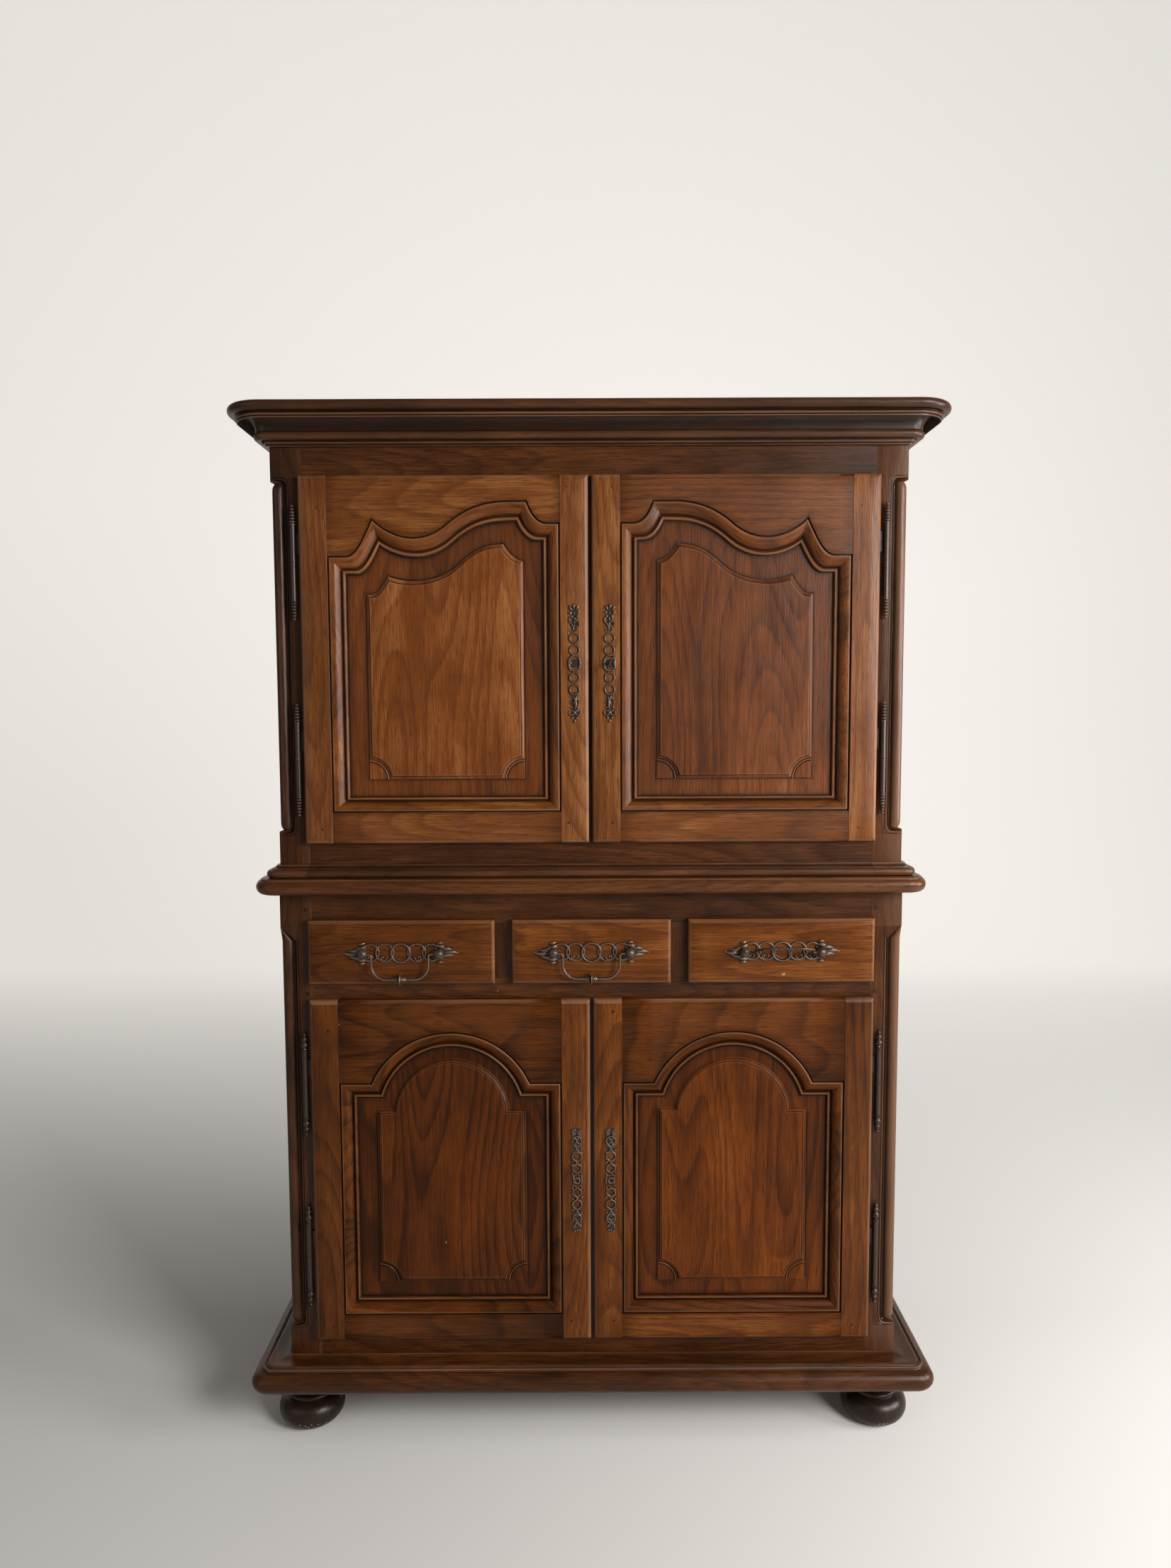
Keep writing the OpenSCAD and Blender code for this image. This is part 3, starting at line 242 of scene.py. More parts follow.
    def strap(self, path, wide, high, sides=8, closed=False, twist=0.0, lobes=0):
        """A bar with an oval section carried along a path of (across, up, out): path + wide cos a
        along its side + high sin a outwards. With lobes its radius swells by a ninth, lobes
        times round, turning by twist radians a millimetre as in a rope. Wear, with a painted
        highlight, lies on top, or on the strands of the rope."""
        path = np.array(path, float)
        n = len(path)
        if closed:
            run = np.roll(path, -1, 0) - np.roll(path, 1, 0)
        else:
            run = np.gradient(path, axis=0)
        run /= np.linalg.norm(run, axis=1)[:, None]
        out = np.broadcast_to([0.0, 0.0, 1.0], run.shape)
        side = np.cross(run, out)
        length = np.linalg.norm(side, axis=1)[:, None]
        side = np.where(length > 1e-3, side / np.maximum(length, 1e-3), [1.0, 0.0, 0.0])
        out = np.cross(side, run)
        a = np.linspace(0, 2 * math.pi, sides, endpoint=False)
        travelled = np.concatenate([[0], np.cumsum(np.linalg.norm(np.diff(path, axis=0), axis=1))])
        swell = np.ones((n, sides))
        if lobes:
            swell = 1 + np.cos(lobes * a + twist * travelled[:, None]) / 9
        wide = np.broadcast_to(wide, n)[:, None, None]
        high = np.broadcast_to(high, n)[:, None, None]
        rows = path[:, None] + swell[..., None] * (
            wide * np.cos(a)[:, None] * side[:, None] + high * np.sin(a)[:, None] * out[:, None])
        worn = (swell - 1) * 6 if lobes else np.clip(np.sin(a), 0, 1) ** 4 * 1.4 - 0.4
        self.tube(rows, 0, 0, 0.0, worn, closed)

    def bead(self, x, y, z, r, high=None):
        """A small dome: rings of a half sphere over (x, y, z), its foot a little under the face."""
        high = r if high is None else high
        a = np.radians([-20, 0, 22, 45, 66, 84])
        t = np.linspace(0, 2 * math.pi, 10, endpoint=False)
        ring, rise = r * np.cos(a)[:, None], z + high * np.sin(a)[:, None]
        rows = np.stack([x + ring * np.cos(t), y + ring * np.sin(t),
                         np.broadcast_to(rise, (len(a), len(t)))], -1)
        # Dark at the foot, dirt with painted shade where it meets the face; pale on top, wear with
        # a painted highlight
        self.tube(rows, edge=np.array([-1, -0.6, 0, 0.4, 0.8, 1])[:, None])

    def piece(self, name, material, body, slot, replaces=(), smooth=32):
        """Puts the gathered surfaces into one mesh object that rides on a body of the frame.
        Edges that turn by more than `smooth` degrees stay sharp."""
        mesh = bpy.data.meshes.new(name)
        points = np.concatenate(self.points)
        quads = np.concatenate(self.quads)
        sizes = np.array([4] * len(quads) + [len(cap) for cap in self.caps], np.int32)
        corners = np.concatenate([quads.ravel()] + [np.asarray(cap) for cap in self.caps])
        mesh.vertices.add(len(points))
        mesh.vertices.foreach_set("co", points.astype(np.float32).ravel())
        mesh.loops.add(len(corners))
        mesh.loops.foreach_set("vertex_index", corners.astype(np.int32))
        mesh.polygons.add(len(sizes))
        starts = np.concatenate([[0], np.cumsum(sizes)[:-1]])
        mesh.polygons.foreach_set("loop_start", starts.astype(np.int32))
        mesh.update(calc_edges=True)
        mesh.validate()
        layer = mesh.attributes.new("grain", "FLOAT_VECTOR", "POINT")
        layer.data.foreach_set("vector", np.concatenate(self.grain).astype(np.float32).ravel())
        for key, values in (("edge", self.edge), ("tone", self.tone)):
            layer = mesh.attributes.new(key, "FLOAT", "POINT")
            layer.data.foreach_set("value", np.concatenate(values).astype(np.float32))
        mesh.polygons.foreach_set("use_smooth", np.ones(len(sizes), bool))
        mesh.set_sharp_from_angle(angle=math.radians(smooth))
        mesh.materials.append(material)
        thing = bpy.data.objects.new(name, mesh)
        bpy.context.scene.collection.objects.link(thing)
        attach(thing, body)
        if replaces:
            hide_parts(*replaces)
        return thing


def bezier(a, b, c, d, n):
    """n points of a cubic Bezier curve after its start, in Bernstein form."""
    t = (np.arange(1, n + 1) / n)[:, None]
    a, b, c, d = (np.array(p, float) for p in (a, b, c, d))
    return (1 - t) ** 3 * a + 3 * (1 - t) ** 2 * t * b + 3 * (1 - t) * t * t * c + t ** 3 * d


def arc(centre, r, a0, a1, n):
    """n + 1 points of a circle from angle a0 to a1 in degrees."""
    a = np.radians(np.linspace(a0, a1, n + 1))
    return np.stack([centre[0] + r * np.cos(a), centre[1] + r * np.sin(a)], 1)


def oval(x, z, wide, high, a0, a1, n):
    """n + 1 points (x + wide cos a, z + high sin a) as a list, a from a0 to a1 in degrees."""
    return [(x + wide * math.cos(a), z + high * math.sin(a))
            for a in np.radians(np.linspace(a0, a1, n + 1))]


# ---------------------------------------------------------------- materials

def add(tree, kind, inputs=None, out=0, **settings):
    """Adds a shader node and gives its output `out`. Settings are its properties, inputs its
    values or the sockets that feed it. A Mix node's colours are inputs 6 and 7 and output 2."""
    made = tree.nodes.new("ShaderNode" + kind)
    for key, value in settings.items():
        setattr(made, key, value)
    for key, value in (inputs or {}).items():
        if isinstance(value, bpy.types.NodeSocket):
            tree.links.new(value, made.inputs[key])
        else:
            made.inputs[key].default_value = value
    return made.outputs[out] if made.outputs else None


def new_material(name):
    """An empty node material and its tree."""
    material = bpy.data.materials.new(name)
    material.use_nodes = True
    material.node_tree.nodes.clear()
    return material, material.node_tree


def wood(name, deep, mid, light, along=None, figure=1.0, grime_and_shade=0.8, rough=0.34, wear=0.9,
         rubbed_and_sheen="#8e6c52", gloss=0.17):
    """Waxed, stained wood. The grain coordinates run in metres along and across the fibres; on a
    frame node they are its Object coordinates in the order that `along` gives. Growth rings are
    the level lines of a noise that is six times longer than wide, so they close in cathedrals.
    Fibres and pores are finer noises stretched 31 and 16 times. Grime and painted shade darken
    hollows, and ridges are rubbed and painted with a highlight in a paler, drier brown."""
    material, tree = new_material(name)
    edge = tone = None
    if along is None:
        grain = add(tree, "Attribute", out="Vector", attribute_name="grain")
        edge = add(tree, "Attribute", out="Fac", attribute_name="edge")
        tone = add(tree, "Attribute", out="Fac", attribute_name="tone")
    else:
        place = add(tree, "TexCoord", out="Object")
        parts = add(tree, "SeparateXYZ", {0: place}).node.outputs
        order = GRAIN_AXES["xyz".index(along)]
        grain = add(tree, "CombineXYZ", {i: parts[k] for i, k in enumerate(order)})
    # Scales are per metre: rings some 18 mm apart, fibres 3 mm and pores 1.6 mm by 26 mm, the
    # last two drawn twice as coarse as real ones so that they show
    layers = {}
    for key, scale, detail in (("rings", (1.2, 7.5, 7.5), 0.3), ("fibre", (10, 310, 310), 2.0),
                               ("pores", (38, 620, 620), 0.0), ("patch", (2.6, 9, 9), 2.0),
                               ("smoke", (9, 20, 20), 3.0), ("swell", (9, 40, 40), 1.0)):
        scaled = add(tree, "VectorMath", {0: grain, 1: scale}, operation="MULTIPLY")
        layers[key] = add(tree, "TexNoise", {"Vector": scaled, "Scale": 1.0, "Detail": detail})
    # Each ring darkens slowly to its late wood and ends within a sixth of its width
    jitter = add(tree, "Math", {0: layers["fibre"], 1: 0.14}, operation="MULTIPLY")
    level = add(tree, "Math", {0: layers["rings"], 1: 18.0, 2: jitter}, operation="MULTIPLY_ADD")
    ring = add(tree, "Math", {0: level}, operation="FRACT")
    late = add(tree, "Math", {0: ring, 1: 2.6}, operation="POWER")
    end = add(tree, "MapRange", {"Value": ring, "From Min": 0.84, "From Max": 1.0, "To Min": 1.0,
                                 "To Max": 0.0}, interpolation_type="SMOOTHSTEP")
    late = add(tree, "Math", {0: late, 1: end}, operation="MULTIPLY")
    total = add(tree, "Math", {0: late, 1: -0.3 * figure, 2: 0.5 + 0.06 * figure},
                operation="MULTIPLY_ADD")
    for key, weight in (("fibre", 0.42), ("patch", 0.6), ("smoke", 0.35)):
        centred = add(tree, "Math", {0: layers[key], 1: 0.5}, operation="SUBTRACT")
        total = add(tree, "Math", {0: centred, 1: weight, 2: total}, operation="MULTIPLY_ADD")
    if tone is not None:
        total = add(tree, "Math", {0: tone, 1: 0.5, 2: total}, operation="MULTIPLY_ADD")
    colour = add(tree, "ValToRGB", {"Fac": total})
    stains = colour.node.color_ramp.elements
    stains[0].position, stains[0].color = 0.12, hex_colour(deep)
    stains[1].position, stains[1].color = 0.88, hex_colour(light)
    stains.new(0.5).color = hex_colour(mid)
    pore = add(tree, "MapRange", {"Value": layers["pores"], "From Min": 0.58, "From Max": 0.68,
                                  "To Max": 0.5})
    colour = add(tree, "Mix", {0: pore, 6: colour, 7: hex_colour(deep)}, 2, data_type="RGBA")
    roughness = add(tree, "Math", {0: layers["smoke"], 1: 0.22, 2: rough - 0.11},
                    operation="MULTIPLY_ADD")
    if edge is not None:
        # Dirt and painted shade: hollows darkened unevenly towards #160a04
        dirt_and_shade = add(tree, "MapRange", {"Value": edge, "From Min": 0.0, "From Max": -0.8,
                                      "To Max": grime_and_shade})
        uneven = add(tree, "Math", {0: layers["smoke"], 1: 1.2, 2: 0.35}, operation="MULTIPLY_ADD")
        dirt_and_shade = add(tree, "Math", {0: dirt_and_shade, 1: uneven}, operation="MULTIPLY", use_clamp=True)
        colour = add(tree, "Mix", {0: dirt_and_shade, 6: colour, 7: hex_colour("#160a04")}, 2,
                     data_type="RGBA")
        # Wear and a painted highlight: ridges paled in patches towards the rubbed colour
        rub_and_sheen = add(tree, "MapRange", {"Value": edge, "From Min": 0.15, "From Max": 1.0,
                                     "To Max": wear})
        rub_and_sheen = add(tree, "Math", {0: rub_and_sheen, 1: layers["patch"]}, operation="MULTIPLY")
        colour = add(tree, "Mix", {0: rub_and_sheen, 6: colour, 7: hex_colour(rubbed_and_sheen)}, 2, data_type="RGBA")
    # Heights in metres: raised fibres, sunk pores and the soft waves of hand planing
    relief = 0.0
    for key, height in (("fibre", 0.00022), ("pores", -0.00016), ("swell", 0.0009)):
        relief = add(tree, "Math", {0: layers[key], 1: height, 2: relief}, operation="MULTIPLY_ADD")
    normal = add(tree, "Bump", {"Height": relief, "Distance": 1.0, "Strength": 1.0})
    shader = add(tree, "BsdfPrincipled", {"Base Color": colour, "Roughness": roughness, "IOR": 1.45,
                                          "Normal": normal, "Specular IOR Level": gloss})
    add(tree, "OutputMaterial", {"Surface": shader})
    return material


def iron(name, skin, bare_and_sheen, attribute=True, rough=0.36):
    """Forged iron, blackened in the fire and waxed: dull brown-black oxide with bare metal rubbed
    through on the ridges, which is also a painted highlight, and hammer marks some 4 mm across."""
    material, tree = new_material(name)
    place = add(tree, "TexCoord", out="Object")
    layers = {}
    for key, scale, detail in (("hammer", 230.0, 1.0), ("rust", 90.0, 4.0), ("grit", 900.0, 2.0)):
        layers[key] = add(tree, "TexNoise", {"Vector": place, "Scale": scale, "Detail": detail})
    colour = add(tree, "Mix", {0: layers["rust"], 6: hex_colour(skin), 7: hex_colour("#3a271c")}, 2,
                 data_type="RGBA")
    metallic = 0.3
    if attribute:
        edge = add(tree, "Attribute", out="Fac", attribute_name="edge")
        # Bare metal on the ridges: wear, and also a painted highlight
        rub_and_sheen = add(tree, "Math", {0: layers["rust"], 1: 0.9, 2: -0.25}, operation="MULTIPLY_ADD")
        rub_and_sheen = add(tree, "Math", {0: rub_and_sheen, 1: edge}, operation="ADD")
        rub_and_sheen = add(tree, "MapRange", {"Value": rub_and_sheen, "From Min": 0.4, "From Max": 1.2, "To Max": 0.8})
        colour = add(tree, "Mix", {0: rub_and_sheen, 6: colour, 7: hex_colour(bare_and_sheen)}, 2, data_type="RGBA")
        metallic = add(tree, "Math", {0: rub_and_sheen, 1: 0.7, 2: 0.2}, operation="MULTIPLY_ADD")
    roughness = add(tree, "Math", {0: layers["grit"], 1: 0.2, 2: rough - 0.1},
                    operation="MULTIPLY_ADD")
    relief = add(tree, "Math", {0: layers["hammer"], 1: 0.00028}, operation="MULTIPLY")
    relief = add(tree, "Math", {0: layers["grit"], 1: 0.00008, 2: relief}, operation="MULTIPLY_ADD")
    normal = add(tree, "Bump", {"Height": relief, "Distance": 1.0})
    shader = add(tree, "BsdfPrincipled", {"Base Color": colour, "Metallic": metallic,
                                          "Roughness": roughness, "Normal": normal})
    add(tree, "OutputMaterial", {"Surface": shader})
    return material


def plain_matt(name, colour, lift):
    """Matt paint on the studio floor: no figure, so that it doesn't draw the eye. To the camera
    and in reflections it also glows, from none under the object to `lift` on the sweep behind it,
    so that the backdrop looks pale under the soft lamps."""
    material, tree = new_material(name)
    paint = add(tree, "BsdfPrincipled", {"Base Color": hex_colour(colour), "Roughness": 0.9})
    rays = add(tree, "LightPath").node.outputs
    seen = add(tree, "Math", {0: rays["Is Camera Ray"], 1: rays["Is Glossy Ray"]},
               operation="MAXIMUM")
    seen = add(tree, "Math", {0: seen, 1: rays["Is Transmission Ray"]}, operation="MAXIMUM")
    place = add(tree, "TexCoord", out="Object")
    depth = add(tree, "SeparateXYZ", {0: place}, "Y")
    behind = add(tree, "MapRange", {"Value": depth, "From Min": 0.2, "From Max": 3.6,
                                    "To Max": lift})
    seen = add(tree, "Math", {0: seen, 1: behind}, operation="MULTIPLY")
    glow = add(tree, "Emission", {"Color": hex_colour(colour), "Strength": seen})
    both = add(tree, "AddShader", {0: paint, 1: glow})
    add(tree, "OutputMaterial", {"Surface": both})
    return material


# The finishes by name, filled by make_finishes
FINISH = {}


def make_finishes(colours):
    """Every finish of the buffet, from the colours in the panel."""
    carcase, frames, fields, low_frames, low_fields = (
        [getattr(colours, part + shade) for shade in ("_deep", "_mid", "_light")]
        for part in ("carcase", "frame", "field", "low_frame", "low_field"))
    # Quarter-sawn walnut for the carcase, stained dark and waxed: low contrast, brown-red
    FINISH["carcase"] = wood("waxed_walnut_carcase", *carcase, figure=0.7, wear=0.85,
                             rubbed_and_sheen="#7d5a44", rough=0.36, gloss=0.28)
    # The same walnut on flat frame boards that keep their solid form
    for way in "xyz":
        FINISH["carcase_" + way] = wood("waxed_walnut_boards_" + way, *carcase, way, 0.7,
                                        gloss=0.28)
    # Stiles and rails of the upper doors: warmer brown with plain straight figure
    FINISH["frame"] = wood("waxed_walnut_frames", *frames, figure=0.8, rough=0.42, gloss=0.3)
    # Raised fields: crown-cut wild cherry, orange-brown with open cathedrals
    FINISH["field"] = wood("waxed_cherry_fields", *fields, figure=0.8, grime_and_shade=0.9, rough=0.42,
                           gloss=0.3)
    # The lower doors and drawers have seen more oil: darker, redder and duller, in part as painted
    # shade of the lower half, where less of the lamps' light falls
    FINISH["frame_low"] = wood("oiled_walnut_lower_frames", *low_frames, figure=0.9, rough=0.36,
                               gloss=0.14)
    FINISH["field_low"] = wood("oiled_cherry_lower_fields", *low_fields, figure=0.95, grime_and_shade=0.9,
                               rough=0.36, gloss=0.14)
    # Bare wood where the finish is chipped: pale and dry
    FINISH["chip"] = wood("chipped_bare_wood", "#6b4c35", "#a5835f", "#c8a987", rough=0.7,
                          gloss=0.1)
    # Feet: beech stained black and bumped by shoes, a dull gloss
    FINISH["foot"] = wood("blackened_beech_feet", "#120c0a", "#21160f", "#382419", figure=0.35,
                          rough=0.33, wear=0.4, rubbed_and_sheen="#3d2a22", gloss=0.3)
    # Shelves, backs and drawer boxes: bare planed oak, dry and pale brown
    for way in "xyz":
        FINISH["inside_" + way] = wood("planed_oak_inside_" + way, "#4a3222", "#6d4c34", "#8a6748",
                                       way, 0.8, rough=0.7)
    # Hinges, plates and pulls, rubbed by hands and with painted highlights on their ridges; locks
    # and key, which keep an even dark skin
    FINISH["iron"] = iron("blackened_forged_iron", "#281b13", "#8c7867")
    FINISH["iron_plain"] = iron("blackened_iron_fittings", "#2a211d", "#8b7d72", attribute=False)


# ---------------------------------------------------------------- body mouldings

# Length that each rounded corner takes in the measure of a path round the body
TURN = 40


def stations(half, first, last):
    """Path round the body at its face: base points, outward directions and distance run. It goes
    up the left side, round the corner, along the front and back down the right side, from first
    to last in its own measure: 0 is the left corner, each corner takes TURN and the front lies
    between them. Stations on the front stand about 45 mm apart."""
    right = TURN + 2 * half
    front = np.arange(TURN, right + 1, 2 * half / round(2 * half / 45))
    marks = np.concatenate([np.linspace(-DEPTH, 0, 8), np.linspace(0, TURN, 12)[1:-1], front,
                            np.linspace(right, right + TURN, 12)[1:-1],
                            np.linspace(right + TURN, right + TURN + DEPTH, 8)])
    marks = np.unique(np.round(np.concatenate([[first, last],
                                               marks[(marks > first) & (marks < last)]]), 4))
    base, out = np.zeros((len(marks), 2)), np.zeros((len(marks), 2))
    for k, run in enumerate(marks):
        if run <= 0:
            base[k], angle = (-half, -run), 180
        elif run <= TURN:
            base[k], angle = (-half, 0), 180 + 90 * run / TURN
        elif run <= right:
            base[k], angle = (run - TURN - half, 0), 270
        elif run <= right + TURN:
            base[k], angle = (half, 0), 270 + 90 * (run - right) / TURN
        else:
            base[k], angle = (half, run - right - TURN), 360
        out[k] = math.cos(math.radians(angle)), math.sin(math.radians(angle))
    return base, out, marks


def carry_round(skin, profile, half, first, last, board=0, tone=0.0, soot_and_shade_heights=None, turn=1.0):
    """A closed moulding section (projection p, height) carried round the body: base + p times
    the outward direction. At a corner that is a quarter circle of radius turn p, whose centre
    lies (1 - turn) p out from the body's corner both ways. Slow waves of a third of a millimetre
    stand for hand planing. Between the two heights of `soot_and_shade_heights` the hollow is
    painted dark, for dirt and for painted shade under the nosing, fully on the front and a fifth
    as much on the sides."""
    profile = np.array(profile, float)
    base, out, run = stations(half, first, last)
    end, wander = 2 * (TURN + half), 0.35
    wave = wander * (np.sin(run / 97 + board) + np.sin(run / 41 + 2 * board)) / 2
    p = profile[None, :, 0] + wave[:, None] * np.clip(profile[None, :, 0] / 20, 0, 1) - wander
    p = np.maximum(p, 0.3)
    bent = ((run > 0) & (run < TURN)) | ((run > end - TURN) & (run < end))
    shift = np.where(bent[:, None], np.sign(np.round(out, 6)) * (1 - turn), 0)
    share = np.where(bent, turn, 1.0)[:, None]
    rows = np.stack([base[:, :1] + p * (shift[:, :1] + share * out[:, :1]),
                     base[:, 1:] + p * (shift[:, 1:] + share * out[:, 1:]),
                     np.broadcast_to(profile[:, 1], p.shape)], -1)
    steps = np.linalg.norm(np.diff(profile, axis=0), axis=1)
    girth = np.concatenate([[0], np.cumsum(steps)])
    grain = np.stack([np.broadcast_to(run[:, None], p.shape), np.broadcast_to(girth, p.shape),
                      p * 0.4], -1).reshape(-1, 3) * MM + grain_start(board) * [1, 1, 0]
    worn = np.broadcast_to(bend(profile), p.shape)
    # Painted shade under the cornice's nosing, with dirt: the hollow darkened on the front, less on
    # the sides
    if soot_and_shade_heights:
        hollow = (profile[:, 1] > soot_and_shade_heights[0]) & (profile[:, 1] < soot_and_shade_heights[1])
        front = np.clip(np.minimum(run, end - run) / TURN, 0.2, 1)[:, None]
        worn = np.where(hollow[None], -0.75 * front, worn)
    skin.tube(rows, 0, board, tone, worn, grain=grain)


def rounded(x, z, r, a0, a1, n):
    """n + 1 points of a circle as a list, for writing the mouldings' sections."""
    return oval(x, z, r, r, a0, a1, n)


def plinth_section():
    """Torus on a flat foot, quirk, bead, hollow and top fillet."""
    z = PLINTH_Z
    lower = rounded(51.5, z + 22.4, 22, -88, 72, 18)
    return ([(0.3, z + 0.2), (20, z + 0.2), (44, z + 0.6)] + lower
            + [(55.5, z + 44.2), (54.2, z + 44.6), (53.6, z + 45.4), (53.3, z + 46.6)]
            + rounded(51, z + 48.6, 2.2, -35, 80, 5)
            + [(48.6, z + 49.6), (47.6, z + 50.6)] + rounded(40, z + 44.5, 7.5, 40, 88, 5)
            + [(34, z + 51.2), (26, z + 50.2), (18, z + 50.4), (11, z + 51.6), (7, z + 53.0),
               (6.2, z + 53.0), (5.6, z + 52.2), (4.9, z + 52.2), (4.5, z + 53.8), (0.3, z + 53.8)])


def counter_section():
    """Bullnose with a thin groove near its top edge."""
    z, t = COUNTER_Z, WAIST_Z - COUNTER_Z
    return ([(0.3, z + 0.2), (12, z + 0.2), (13.5, z + 1.2), (30, z + 1.4)]
            + rounded(31, z + t / 2 - 0.6, 15.6, -88, 50, 16)
            + [(40.0, z + t - 5.2), (38.9, z + t - 5.6), (38.2, z + t - 4.9), (38.0, z + t - 3.8),
               (37.2, z + t - 2.4), (35.6, z + t - 1.2), (33.0, z + t - 0.3), (0.3, z + t - 0.1)])


def waist_section():
    """Torus, fillet and small hollow under the upper body."""
    z = WAIST_Z
    return ([(0.3, z + 0.1), (21, z + 0.1)] + rounded(19.8, z + 8.4, 8.2, -78, 84, 12)
            + [(20.6, z + 17.0), (17.5, z + 17.2), (17.2, z + 18.6), (14.4, z + 18.9)]
            + rounded(14.0, z + 25.4, 6.2, 268, 196, 6)
            + [(7.2, z + 25.8), (0.3, z + 25.8)])


def cornice_section():
    """From below: fillet, astragal, torus, fillet, cove, fillet, bead between two quirks and the
    thick nosing."""
    z = CORNICE_Z
    return ([(0.3, z + 0.2), (7.6, z + 0.2), (8, z + 3.0), (13.6, z + 3.6), (15, z + 5.2),
             (15.2, z + 9.2), (20.5, z + 9.4)] + rounded(22.2, z + 17.4, 7.9, -80, 84, 12)
            + [(24.6, z + 25.4), (25.6, z + 25.6), (25.9, z + 27.2)]
            + rounded(60.5, z + 25.9, 34.4, 177, 92, 14)[1:-1]
            + [(60.2, z + 42.2), (62, z + 42.6), (62, z + 45.0), (60.4, z + 45.4), (60.3, z + 46.6)]
            + rounded(63.6, z + 49.0, 2.5, -90, 70, 6)
            + [(63.2, z + 52.2), (62.6, z + 53.4), (63.4, z + 54.6)]
            + rounded(70.2, z + 64.6, 9.6, -86, 60, 14)
            + [(72.6, z + 73.4), (68, z + 73.8), (0.3, z + 73.8)])


# ---------------------------------------------------------------- posts

# Half of the posts' moulded corner, from the plain face to the middle of the corner: steps back
# from the side and from the front, and wear, which is paler on the bead's crest as a painted
# highlight. First a groove, drawn 1.27 times as large, then the bead of radius BEAD_R whose
# centre lies BEAD_IN from both faces, then the middle itself
BEAD_IN, BEAD_R = 12.4, 12.2
GROOVE = np.array([
    (29.0, 0.0, 0.1), (28.2, 0.9, -0.9), (27.4, 1.0, -0.9), (26.8, 0.3, 0.5), (25.6, 0.2, 0.8),
    (24.8, 1.0, 0), (24.2, 3.2, -1), (23.0, 5.8, -1), (21.6, 6.9, -1), (20.4, 6.8, -0.7)])
CORNER = np.concatenate([
    GROOVE * [1.27, 1.27, 1],
    [(BEAD_IN + BEAD_R * math.cos(a), BEAD_IN - BEAD_R * math.sin(a),
      0.15 + 0.65 * math.sin(a) ** 8) for a in np.radians([18, 34, 50, 66, 82, 98, 116])],
    [(3.77, 3.77, 0.3)]])
# Length in which a stop closes the groove and blunts the bead, and how deep a post is
STOP = 25
POST_DEEP = 66.0


def corner_section(share, above):
    """The moulded corner's section where it is drawn in to a share of its size, or `above`
    millimetres into a stop. There the groove's points run round a squarish corner,
    x' = (x^5 - above^5)^(1/5), and the bead shrinks to a blunt end by
    (1 - (above / STOP)^5)^(1/5); past it a chamfer closes the corner."""
    groove, bead = CORNER[:len(GROOVE)], CORNER[len(GROOVE):]
    x = np.maximum(groove[:, 0] ** 5 - above ** 5, 0) ** 0.2
    y = np.minimum(groove[:, 1], x)
    middle = (x[-1] + y[-1]) / 2
    k = (above / STOP) ** 5
    if k < 1:
        inner = BEAD_IN + (middle - BEAD_IN) * k + (1 - k) ** 0.2 * (bead[:, :2] - BEAD_IN)
    else:
        t = np.linspace(0, 1, len(bead) + 1)[1:, None]
        inner = np.array([x[-1], y[-1]]) * (1 - t) + middle * t
    half = np.concatenate([np.stack([x, y], 1), inner]) * share
    worn = np.where(half[:, 0] > 0.5, CORNER[:, 2], 0.3)
    return np.concatenate([half, half[::-1][1:, ::-1]]), np.concatenate([worn, worn[::-1][1:]])


def post(skin, half, side, z0, z1, stops, board, tone=0.0):
    """A front post: a rectangle whose outer front corner is the moulded one between its stops,
    squarish ones or a straight slant at the head. The right one is rubbed more and painted
    paler, a highlight from the lamps on the right."""
    low, high, slant = stops
    r = CORNER[0, 0]
    ramp = r * np.sin(np.linspace(0, math.pi / 2, 19))
    marks = np.concatenate([np.linspace(z0, z1, 12), low + r - ramp,
                            np.linspace(slant, high, 9) if slant else high - r + ramp])
    marks = np.unique(np.round(marks[(marks >= z0) & (marks <= z1)], 3))
    plain = [(half, POST_DEEP), (POST_IN, POST_DEEP), (POST_IN, 1.0), (POST_IN + 0.4, 0.3),
             (POST_IN + 1.2, 0.0)]
    rows, wear = [], []
    for z in marks:
        above, share = max(low + r - z, 0.0), 1.0
        if slant:
            share = min(max((high - z) / (high - slant), 0.0), 1.0)
        else:
            above = max(above, z - high + r)
        corner, worn = corner_section(share, min(above, r + 1))
        line = np.concatenate([plain, np.stack([half - corner[:, 0], corner[:, 1]], 1)])
        rows.append(np.stack([side * line[:, 0], line[:, 1], np.full(len(line), z)], 1))
        # The right post's ridges paler: wear, and a painted highlight from the lamps on the right
        worn = np.where(worn > 0.1, worn + 0.5 * side, worn)
        wear.append(np.concatenate([[0, 0, 0.3, 0.5, 0.3], worn]))
    skin.tube(np.array(rows), 2, board, tone, np.array(wear))


# ---------------------------------------------------------------- doors

# Each door: its hinge edge from the middle, its foot above the floor, width, height, and the
# widths of its stiles and bottom rail
UPPER_DOOR = {"half": 586.5, "foot": 1272.0, "w": 583.0, "h": 744.0, "stile": 57.0, "rail": 64.0}
LOWER_DOOR = {"half": 588.5, "foot": 204.0, "w": 585.0, "h": 739.0, "stile": 59.5, "rail": 56.0}
# How far the upper fields lie inside the stiles, and the lower ones inside stiles and rail; the
# height of an upper field over its rail is 0.9 of that. NOTCH is the quarter round in a field's
# lower corners, and BACK_IN how far the boards behind a door's face stand inside its edge
FIELD_IN = 75.0
LOWER_FIELD_IN = (76, 68)
NOTCH = 41.0
BACK_IN = 10.5
ARCH_TOP = UPPER_DOOR["h"] - 51
ARCH_RIGHT = UPPER_DOOR["w"] - UPPER_DOOR["stile"]


